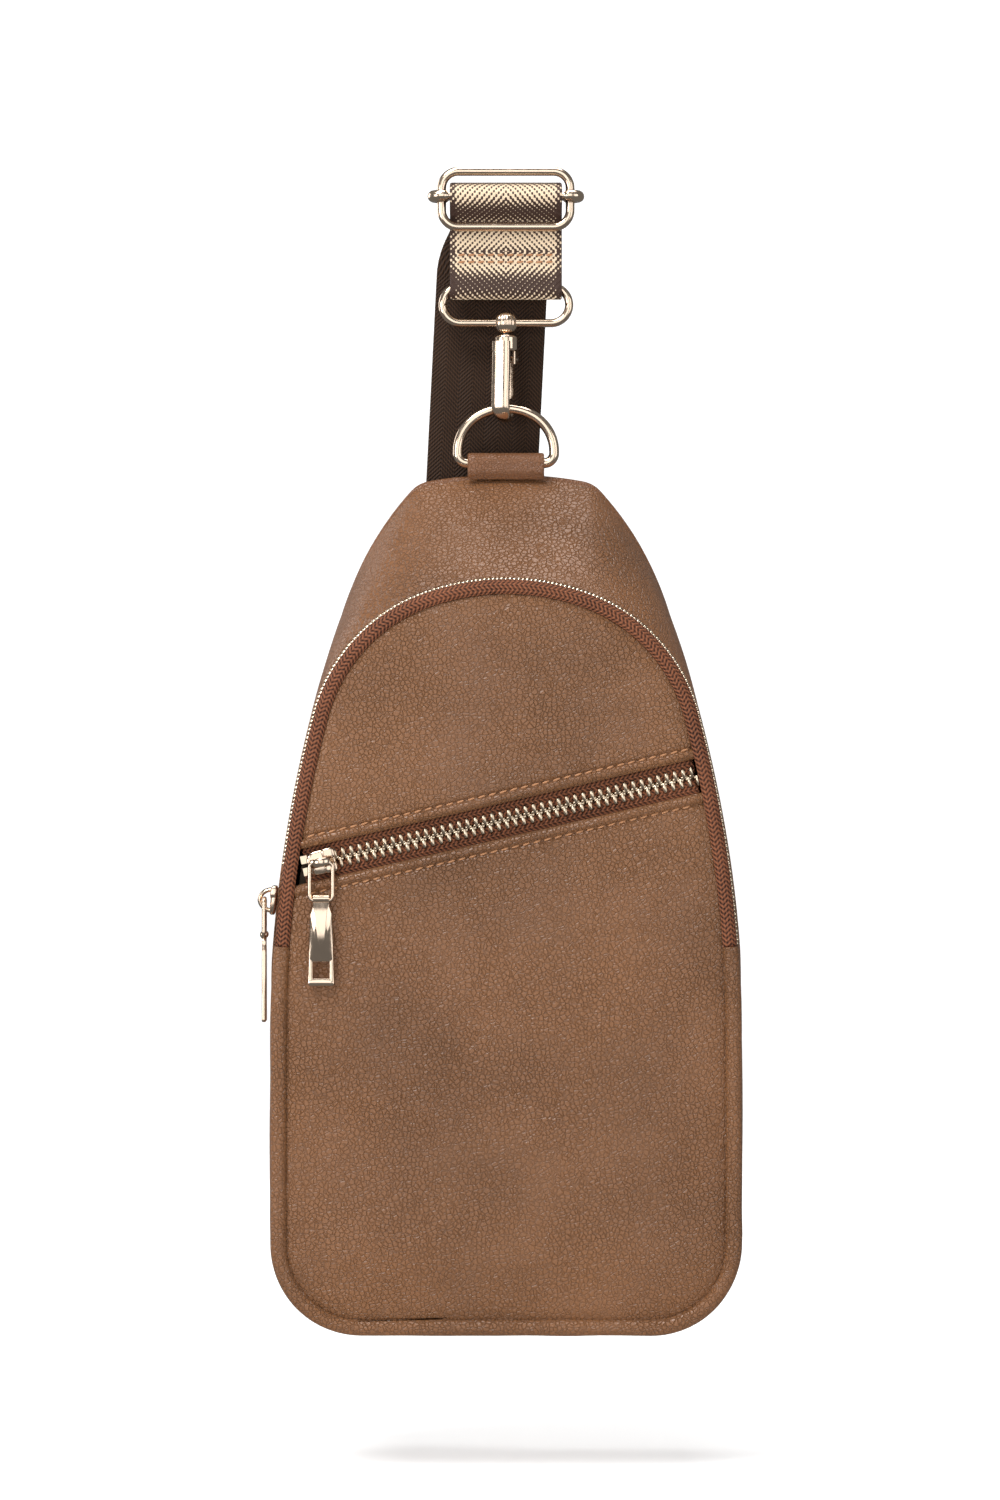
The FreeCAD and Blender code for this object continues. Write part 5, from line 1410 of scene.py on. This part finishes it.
@dataclass
class Strap:
    """The one long strap, in the pieces that part company when the hardware swings."""

    wide: float = 38 * MM
    thick: float = 1.4 * MM
    lean: float = math.radians(2.9)
    shift: float = -3.0 * MM
    inner_y: float = 7.9 * MM
    outer_y: float = 10.1 * MM
    top: float = -20.6 * MM
    split: float = -107 * MM
    low: float = -354 * MM
    loop_z: float = -37.7 * MM
    loop_radius: float = 3.0 * MM
    seam: float = -25.4 * MM
    leg_top: float = -15.2 * MM
    wrap_radius: float = 3.6 * MM
    sewn_radius: float = 2.05 * MM
    ring_z: float = -358 * MM
    ring_radius: float = 2.3 * MM

    def front(self, y: float, z: np.ndarray, x: np.ndarray | float = 0.0) -> np.ndarray:
        """Places on a run seen face on."""
        return np.stack(np.broadcast_arrays(x, y, z), -1).astype(float)

    def eye_loop(self) -> None:
        """Webbing around the hook eye's top bar and up to the sewn seam."""
        centre, radius, seam = self.loop_z, self.loop_radius, self.seam
        turn = np.linspace(np.pi, 2 * np.pi, 25)
        loop = np.stack([radius * np.cos(turn), centre + radius * np.sin(turn)], -1)
        up = np.linspace(centre, seam, 14)[1:]
        front = np.stack([np.full(13, -radius), up], -1)[::-1]
        share = smooth(centre + 2 * MM, seam - 4 * MM, up)
        rear = np.stack([radius * (1 - share) + (-radius + 1.55 * MM) * share, up], -1)
        path = np.concatenate([front, loop, rear])
        path = np.stack([np.zeros(len(path)), path[:, 0], path[:, 1]], -1)
        obj = ribbon("webbing_eye_loop", path, self.wide, self.thick)
        dress(obj, WEB)
        place(obj, "eye_loop", "strap_eye_loop")
        row = np.linspace(-16.5 * MM, 16.5 * MM, 40)
        for index, level in enumerate((-26.6 * MM, -29.0 * MM)):
            line = self.front(-radius - self.thick / 2 - 0.12 * MM, level + 0 * row, row)
            stitches = stitch_row("eye_loop_stitches_%d" % (index + 1), line, np.array([0.0, -1.0, 0.0]),
                                  2.4 * MM, 0.9 * MM)
            settle(stitches, THREAD, "thread", "eye_loop", *(["strap_stitches"] if index == 0 else []))

    def front_leg(self) -> None:
        """The single layer that feeds from the bar to the sewn loop."""
        y = -self.loop_radius
        path = self.front(y, np.linspace(self.seam, self.leg_top, 16))
        obj = ribbon("webbing_front_leg", path, self.wide, self.thick)
        dress(obj, WEB)
        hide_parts("strap_front_leg")
        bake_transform(obj)

    def bar_wraps(self) -> None:
        """The strap over the adjuster's centre bar, and its sewn end beneath."""
        y, z = node_middle("adjuster_bar")
        over = arc(y, z, self.wrap_radius, np.radians(np.linspace(212.0, 105.0, 24)))
        knots = np.concatenate([[[-3.0 * MM, -15.2 * MM], [-3.0 * MM, -14.6 * MM]], over,
                                [[-2.0 * MM, -2.6 * MM], [2.5 * MM, -1.9 * MM], [6.5 * MM, -4.4 * MM],
                                 [9.2 * MM, -10.5 * MM], [self.outer_y, self.top]]])
        path = smoothed(knots, 90, 3)
        obj = ribbon("webbing_over_bar", np.stack([0 * path[:, 0], path[:, 0], path[:, 1]], -1), self.wide,
                     self.thick, start=7 * MM)
        dress(obj, WEB)
        place(obj, "adjuster", "strap_bar_wrap")
        under = arc(y, z, self.sewn_radius, np.radians(np.linspace(290.0, -20.0, 30)))
        knots = np.concatenate([[[y + 3.2 * MM, z - 5.6 * MM]], under, [[self.inner_y, self.top]]])
        path = smoothed(knots, 70, 1)
        obj = ribbon("webbing_sewn_end", np.stack([0 * path[:, 0], path[:, 0], path[:, 1]], -1), self.wide,
                     self.thick)
        dress(obj, WEB_BACK_AND_SHADE)
        place(obj, "adjuster", "strap_sewn_end")

    def rear_path(self, y: float, high: float, low: float, count: int) -> np.ndarray:
        """A rear run's centre line: straight from the bar, it eases into the lean of the bag's strap."""
        z = np.linspace(high, low, count)
        x = (self.shift + z * math.tan(self.lean)) * smooth(0, 14 * MM, self.top + 2 * MM - z)
        return np.stack([x, np.full(count, y), z], -1)

    def rear_runs(self) -> None:
        """Both runs behind the bag; above the bag each is cut where a joint's two bodies meet."""
        cuts = [self.top, -36.5 * MM, -47 * MM, -62 * MM, -86 * MM, self.split]
        for run, y in (("inner", self.inner_y), ("outer", self.outer_y)):
            for index in range(5):
                high, low = cuts[index], cuts[index + 1]
                path = self.rear_path(y, high, low, 16)
                obj = ribbon("webbing_%s_%d" % (run, index + 1), path, self.wide, self.thick, start=-high)
                dress(obj, WEB_BACK_AND_SHADE)
                if index == 0:
                    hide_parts("strap_%s_upper" % run)
                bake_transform(obj)
            path = self.rear_path(y, self.split, self.low, 120)
            obj = ribbon("webbing_%s_long" % run, path, self.wide, self.thick, start=-self.split)
            dress(obj, WEB_BACK_AND_SHADE)
            place(obj, "bag", "strap_%s_lower" % run)

    def ring_turn(self) -> None:
        """The strap's turn round the lower ring."""
        low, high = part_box("strap_ring_turn")
        x = (low.x + high.x) / 2
        middle = (self.inner_y + self.outer_y) / 2
        loop = arc(middle, self.ring_z, self.ring_radius, np.linspace(np.pi, 2 * np.pi, 25))
        knots = np.concatenate([[[self.inner_y, self.low]], loop, [[self.outer_y, self.low]]])
        path = smoothed(knots, 60, 1)
        path = np.stack([x + 0 * path[:, 0], path[:, 0], path[:, 1]], -1)
        obj = ribbon("webbing_ring_turn", path, self.wide, self.thick,
                     across=(math.cos(self.lean), 0, -math.sin(self.lean)))
        dress(obj, WEB_BACK_AND_SHADE)
        place(obj, "bag", "strap_ring_turn")

    def build(self) -> None:
        """Build the whole strap."""
        self.eye_loop()
        self.front_leg()
        self.bar_wraps()
        self.rear_runs()
        self.ring_turn()


def smoothed(knots: np.ndarray, count: int, passes: int) -> np.ndarray:
    """Even samples along a polyline, each then averaged with its neighbours a few times."""
    run = travelled(knots)
    fine = np.linspace(0, run[-1], count)
    path = np.stack([np.interp(fine, run, knots[:, i]) for i in range(knots.shape[1])], -1)
    for _ in range(passes):
        path[1:-1] = (path[:-2] + 2 * path[1:-1] + path[2:]) / 4
    return path


def node_middle(node: str) -> tuple[float, float]:
    """Depth and height of the middle of a frame node."""
    low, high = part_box(node)
    return (low.y + high.y) / 2, (low.z + high.z) / 2


# ------------------------------------------------------------------------------------ plated hardware


def loop_path(wide: float, tall: float, corner: float, per_corner: int = 14) -> np.ndarray:
    """A rounded rectangle's line: four quarter circles; the straights lie between them."""
    turn = np.linspace(0, np.pi / 2, per_corner)
    parts = []
    for quarter, (a, b) in enumerate(((1, 1), (-1, 1), (-1, -1), (1, -1))):
        angle = turn + quarter * np.pi / 2
        parts.append(np.stack([a * (wide / 2 - corner) + corner * np.cos(angle),
                               b * (tall / 2 - corner) + corner * np.sin(angle)], -1))
    return np.concatenate(parts)


def lathe(name: str, profile: np.ndarray, centre: tuple[float, float, float], sides: int = 48,
          knurl: float = 0.0, ridges: int = 16) -> bpy.types.Object:
    """A turned piece: radius and height pairs carried round Z, with optional ridges.

    Args:
        name: the piece's name.
        profile: (m, 2) radius and height.
        centre: foot of its axis.
        sides: points around.
        knurl: depth of the ridges.
        ridges: number of ridges.

    Returns:
        The piece, closed at its poles.
    """
    angle = np.linspace(0, 2 * np.pi, sides, endpoint=False)[None]
    radius = profile[:, :1] * (1 - knurl * (0.5 + 0.5 * np.cos(ridges * angle)))
    points = np.stack([radius * np.cos(angle), radius * np.sin(angle),
                       np.broadcast_to(profile[:, 1:], radius.shape)], -1) + np.array(centre)
    return closed_grid(name, points)


@dataclass
class Hardware:
    """Adjuster, eye, swivel, hook, rings and the zip pullers' metal.

    Loops are given by the width and height between wire centres, the corner radius and the middle's height.
    """

    wire_sides: int = 24
    frame_loop: tuple[float, float, float, float] = (43.5 * MM, 18.8 * MM, 5.6 * MM, -7.9 * MM)
    frame_wire: float = 1.5 * MM
    bar_reach: float = 2.85 * MM
    bar_half: float = 18 * MM
    eye_loop: tuple[float, float, float, float] = (43.0 * MM, 12.5 * MM, 6.24 * MM, -43.15 * MM)
    eye_wire: float = 1.4 * MM
    ball: tuple[float, float] = (3.9 * MM, 3.7 * MM)
    ball_z: float = -49.4 * MM
    hook_turn: float = math.radians(25.0)
    collar_top: float = -53.6 * MM
    collar_low: float = -59.0 * MM
    collar: float = 4.0 * MM
    throat_z: float = -77.4 * MM
    throat: float = 4.4 * MM
    ring_half: float = 16.4 * MM
    ring_top: float = -78.4 * MM
    ring_bar: float = -97.0 * MM
    ring_wire: float = 1.7 * MM

    def adjuster(self) -> None:
        """Frame of the adjuster, and its centre bar with ends curled around the frame's sides."""
        wide, tall, corner, middle = self.frame_loop
        y, _ = node_middle("adjuster_frame")
        line = loop_path(wide, tall, corner)
        path = np.stack([line[:, 0], np.full(len(line), y), line[:, 1] + middle], -1)
        obj = tube("adjuster_frame_wire", path, self.frame_wire, (0, 1, 0), True, self.wire_sides)
        settle(obj, GOLD, "strap_metal", "adjuster", "adjuster_frame")
        bar_y, bar_z = node_middle("adjuster_bar")
        turn = np.linspace(-0.5 * np.pi, 1.35 * np.pi, 40)
        curl = arc(wide / 2, bar_y, self.bar_reach, turn)
        across = np.linspace(-self.bar_half, self.bar_half, 12)
        straight = np.stack([across, np.full(12, bar_y - self.bar_reach)], -1)
        left = np.stack([-curl[::-1, 0], curl[::-1, 1]], -1)
        flat = np.concatenate([left, straight, curl])
        flat = smoothed(flat, 190, 2)
        path = np.stack([flat[:, 0], flat[:, 1], np.full(len(flat), bar_z)], -1)
        radius = 1.2 * MM + 0.8 * MM * smooth(19.4 * MM, 21.0 * MM, np.abs(flat[:, 0]))
        obj = tube("adjuster_centre_bar", path, radius, (0, 0, 1), False, 16)
        settle(obj, GOLD, "strap_metal", "adjuster", "adjuster_bar")

    def eye(self) -> None:
        """Oval hook eye and the knurled swivel ball on its lower bar."""
        wide, tall, corner, middle = self.eye_loop
        line = loop_path(wide, tall, corner, 20)
        path = np.stack([line[:, 0], 0 * line[:, 0], line[:, 1] + middle], -1)
        obj = tube("hook_eye_wire", path, self.eye_wire, (0, 1, 0), True, self.wire_sides)
        settle(obj, GOLD, "strap_metal", "hook_eye", "hook_eye")
        turn = np.linspace(-np.pi / 2, np.pi / 2, 21)
        ball = np.stack([self.ball[0] * np.cos(turn) ** 0.8, self.ball[1] * np.sin(turn)], -1)
        obj = lathe("swivel_ball", ball[1:-1], (0, 0, self.ball_z), 96, 0.06, 20)
        settle(obj, GOLD, "strap_metal", "hook_eye")

    def hook(self) -> None:
        """Snap hook: turned collar, a back that thins into the bend, and two ears for the gate's pin."""
        across = np.array([math.sin(self.hook_turn), math.cos(self.hook_turn), 0.0])
        along = np.cross([0.0, 0.0, 1.0], across)
        high, low, level, radius = self.collar_top, self.collar_low, self.throat_z, self.throat
        steps = np.linspace(0, np.pi / 2, 6)
        edge = 0.9 * MM
        flat = self.collar - edge
        profile = np.concatenate([
            np.stack([flat + edge * np.sin(steps), high - edge + edge * np.cos(steps)], -1),
            np.stack([flat + edge * np.cos(steps), low + edge - edge * np.sin(steps)], -1),
        ])
        collar = lathe("hook_collar", profile[::-1], (0, 0, 0), 48)
        settle(collar, GOLD, "strap_metal", "hook", "hook_body")
        bend = np.linspace(np.pi, 2.06 * np.pi, 40)
        down = np.linspace(low + 3.2 * MM, level, 30)
        spine = np.full(30, -radius + 0.6 * MM * smooth(level, low, down))
        run = np.concatenate([np.stack([spine, down], -1),
                              np.stack([radius * np.cos(bend), level + radius * np.sin(bend)], -1)[1:]])
        path = run[:, :1] * across + run[:, 1:] * np.array([0.0, 0.0, 1.0])
        share = np.linspace(0, 1, len(run))
        half_wide = 1.4 * MM + 1.9 * MM * (1 - smooth(0.48, 0.76, share))
        half_thick = 1.4 * MM - 0.15 * MM * smooth(0.8, 1.0, share)
        angle = np.linspace(0, 2 * np.pi, 28, endpoint=False)
        shape = np.stack([np.sign(np.cos(angle)) * np.abs(np.cos(angle)) ** 0.75,
                          np.sign(np.sin(angle)) * np.abs(np.sin(angle)) ** 0.75], -1)
        profile = shape[None] * np.stack([half_wide, half_thick], -1)[:, None]
        tip = np.sqrt(np.clip(1 - np.clip((share - 0.97) / 0.03, 0, 0.97) ** 2, 0, 1))
        points = carried(path, profile * tip[:, None, None], along, False)
        obj = closed_grid("hook_back", points)
        settle(obj, GOLD, "strap_metal", "hook")
        for index, side in enumerate((-1, 1)):
            line = np.linspace(low + 1.0 * MM, low - 4.2 * MM, 12)
            ear = across * (radius - 1.0 * MM) + along * side * 2.1 * MM
            path = ear + line[:, None] * np.array([0.0, 0.0, 1.0])
            obj = ribbon("hook_ear_%d" % (index + 1), path, 3.4 * MM, 1.0 * MM, across=tuple(across))
            settle(obj, GOLD, "strap_metal", "hook")

    def d_ring(self) -> None:
        """D-ring: a straight lower bar with tight corners, straight sides and a flattened arch."""
        half, high, low = self.ring_half, self.ring_top, self.ring_bar
        corner, crown, shoulder = 3.4 * MM, 19.0 * MM, 14.0 * MM
        lean = math.asin((half - shoulder) / (crown - shoulder))
        hub = np.array([math.sin(lean), math.cos(lean)]) * (crown - shoulder) + [0, high - crown]
        turn = np.linspace(-np.pi / 2, 0, 10)
        right = [np.stack([half - corner + corner * np.cos(turn), low + corner + corner * np.sin(turn)], -1)]
        turn = np.linspace(np.pi / 2, lean, 16)
        right.append(hub + shoulder * np.stack([np.sin(turn), np.cos(turn)], -1))
        turn = np.linspace(lean, 0, 14)[1:]
        right.append(np.array([0, high - crown]) + crown * np.stack([np.sin(turn), np.cos(turn)], -1))
        right = np.concatenate(right)
        left = right[-2::-1] * [-1, 1]
        line = np.concatenate([right, left])
        path = np.stack([line[:, 0], 0 * line[:, 0], line[:, 1]], -1)
        obj = tube("d_ring_wire", path, self.ring_wire, (0, 1, 0), True, self.wire_sides)
        settle(obj, GOLD, "strap_metal", "d_ring", "d_ring")

    def build(self) -> None:
        """Build the wire pieces and dress the frame nodes that keep their shape."""
        self.adjuster()
        self.eye()
        self.hook()
        self.d_ring()
        for node, material in (
            ("swivel_pin", STEEL), ("gate_pin", STEEL), ("gate_spring", STEEL), ("hook_gate", GOLD),
            ("lower_ring", GOLD), ("pocket_bail", GOLD), ("main_bail", GOLD), ("pocket_zip_stops", ZIP_METAL),
        ):
            redress(node, material)


def redress(node: str, material: bpy.types.Material) -> None:
    """Give a frame node that keeps its shape a finish of its own."""
    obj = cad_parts[node]
    obj.data.materials.clear()
    obj.data.materials.append(material)
    log.info("%-28s kept from the frame", node)


# ------------------------------------------------------------------------------------ tabs and linings


@dataclass
class Tabs:
    """Leather tabs that hold the two rings, with their stitches."""

    thick: float = 1.5 * MM

    def loop_tab(self, name: str, wide: float, bar: tuple[float, float, float], tail: float, face: float,
                 node: str) -> None:
        """A strip that goes up in front of a bar, over it and down behind, then along the bag's back.

        Args:
            name: the piece's name.
            wide: the strip's width.
            bar: middle of the ring's bar.
            tail: length down the back.
            face: depth at which the tail lies.
            node: frame node that it stands for.
        """
        x, y, z = bar
        radius = 2.8 * MM
        turn = np.linspace(1.12 * np.pi, -0.02 * np.pi, 26)
        over = arc(y, z, radius, turn)
        front_end = [[y - radius * 0.5, z - 5.2 * MM], [y - radius, z - 3.0 * MM]]
        rear_end = [[face, z - 5.0 * MM], [face, z - tail]]
        flat = smoothed(np.concatenate([front_end, over, rear_end]), 70, 2)
        path = np.stack([x + 0 * flat[:, 0], flat[:, 0], flat[:, 1]], -1)
        obj = ribbon(name, path, wide, self.thick)
        settle(obj, TRIM_LEATHER, "leather_trim", "bag", node)

    def build(self) -> None:
        """The ring tab and the two stitch rows on its tail, and finishes for the lower tab, the linings,
        padding, board and zip end tabs.
        """
        self.loop_tab("ring_tab_leather", 26 * MM, (0, 0, -97 * MM), 25 * MM, BACK_Y + 1.2 * MM, "d_ring_tab")
        redress("lower_tab", TRIM_LEATHER)
        level = BASE_Z + 286 * MM - 19 * MM
        side = np.linspace(-10.5 * MM, 10.5 * MM, 30)
        y = BACK_Y + 2.05 * MM
        for index, z in enumerate((level, level + 11 * MM)):
            path = np.stack([side, np.full(30, y), np.full(30, z)], -1)
            row = stitch_row("ring_tab_stitches_%d" % (index + 1), path, np.array([0.0, 1.0, 0.0]))
            settle(row, PALE_THREAD, "thread", "bag")
        for node, material in (("gusset_lining", LINING), ("crown_lining", LINING), ("back_lining", LINING),
                               ("slip_pocket", LINING), ("pocket_lining", LINING), ("front_lining", LINING),
                               ("back_padding", FOAM), ("back_board", EDGE_PAINT),
                               ("zip_end_tabs", TRIM_LEATHER)):
            redress(node, material)


# ------------------------------------------------------------------------------------ studio


@dataclass(frozen=True)
class Studio:
    """Camera, lights, floor and backdrop."""

    distance: float = 1.5
    aim: tuple[float, float, float] = (-0.002, 0.0, -0.1945)
    field_tall: float = 0.510
    floor_drop: float = 45 * MM

    def camera(self) -> None:
        """Level camera straight in front of the bag."""
        data = bpy.data.cameras.new("camera")
        data.sensor_fit = "VERTICAL"
        data.angle = 2 * math.atan(self.field_tall / 2 / self.distance)
        data.clip_start, data.clip_end = 0.05, 50.0
        obj = bpy.data.objects.new("camera", data)
        obj.location = (self.aim[0], -self.distance, self.aim[2])
        obj.rotation_euler = (math.pi / 2, 0, 0)
        bpy.context.scene.collection.objects.link(obj)
        bpy.context.scene.camera = obj

    def light(self, name: str, spot: tuple[float, float, float], size: float, watts: float,
              tint: tuple[float, float, float] = (1, 1, 1)) -> None:
        """A soft square light aimed at the bag's middle."""
        data = bpy.data.lights.new(name, "AREA")
        data.size, data.energy, data.color = size, watts, tint
        obj = bpy.data.objects.new(name, data)
        obj.location = spot
        obj.rotation_euler = (Vector(self.aim) - Vector(spot)).to_track_quat("-Z", "Y").to_euler()
        bpy.context.scene.collection.objects.link(obj)

    def stage(self) -> None:
        """Pale floor that curves up into a backdrop: a profile carried sideways."""
        turn = np.linspace(0, np.pi / 2, 14)
        reach, radius = 1.6, 0.6
        sweep = np.stack([reach + radius * np.sin(turn), radius - radius * np.cos(turn)], -1)
        line = np.concatenate([[[-4.0, 0.0]], sweep, [[reach + radius, 4.0]]])
        x = np.linspace(-5, 5, 9)[:, None]
        floor = BASE_Z - self.floor_drop
        points = np.stack(np.broadcast_arrays(x, line[:, 0], line[:, 1] + floor), -1)
        obj = grid_object("backdrop", points)
        n = Nodes("backdrop_paper")
        colour = n.ramp(n.noise(3.0), [(0.3, (0.86, 0.86, 0.86)), (0.7, (0.88, 0.88, 0.88))])
        paper = n.finish(colour, None, None, Roughness=0.9, Emission_Color=(1.0, 1.0, 1.0, 1.0),
                         Emission_Strength=0.35)
        obj.data.materials.append(paper)
        obj.visible_glossy = False

    def build(self) -> None:
        """Set up the scene."""
        self.camera()
        self.stage()
        self.light("key", (-0.7, -0.9, 1.4), 0.8, 30.0)
        self.light("fill", (1.5, -1.3, 0.1), 1.2, 7.0)
        self.light("front", (-0.2, -2.8, 0.3), 2.2, 22.0)
        self.light("top", (0.1, 0.0, 1.2), 0.8, 10.0)
        self.light("rim", (-1.2, 0.9, 0.2), 0.9, 5.0)
        self.light("left", (-1.2, -1.0, -0.05), 0.7, 6.0)
        world = bpy.data.worlds.new("studio")
        world.use_nodes = True
        world.node_tree.nodes["Background"].inputs[0].default_value = (1.0, 1.0, 1.0, 1.0)
        world.node_tree.nodes["Background"].inputs[1].default_value = 0.16
        bpy.context.scene.world = world
        bpy.context.scene.view_settings.view_transform = "Standard"


def main() -> None:
    """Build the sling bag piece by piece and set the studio."""
    logging.basicConfig(level=logging.INFO, format="%(name)s: %(message)s")
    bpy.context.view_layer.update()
    Studio().build()
    BagBody().build()
    panel = FrontPanel()
    panel.build()
    MouthZip().build()
    PocketZip(panel).build()
    way = panel.way()
    Puller("pocket", np.array([way[0], 0.0, way[1]]), np.array([0.0, -1.0, 0.0]),
           np.array([1.0, 0.0, 0.0])).build()
    side_q = np.array([2 * HALF_TURN - FRONT.level(143 * MM)])
    out = FRONT.at(side_q)[1][0]
    Puller("main", np.array([-out[1], 0.0, out[0]]) * -1.0, np.array([out[0], 0.0, out[1]]),
           np.array([0.0, 1.0, 0.0])).build()
    Strap().build()
    Hardware().build()
    Tabs().build()


if __name__ == "__main__":
    main()
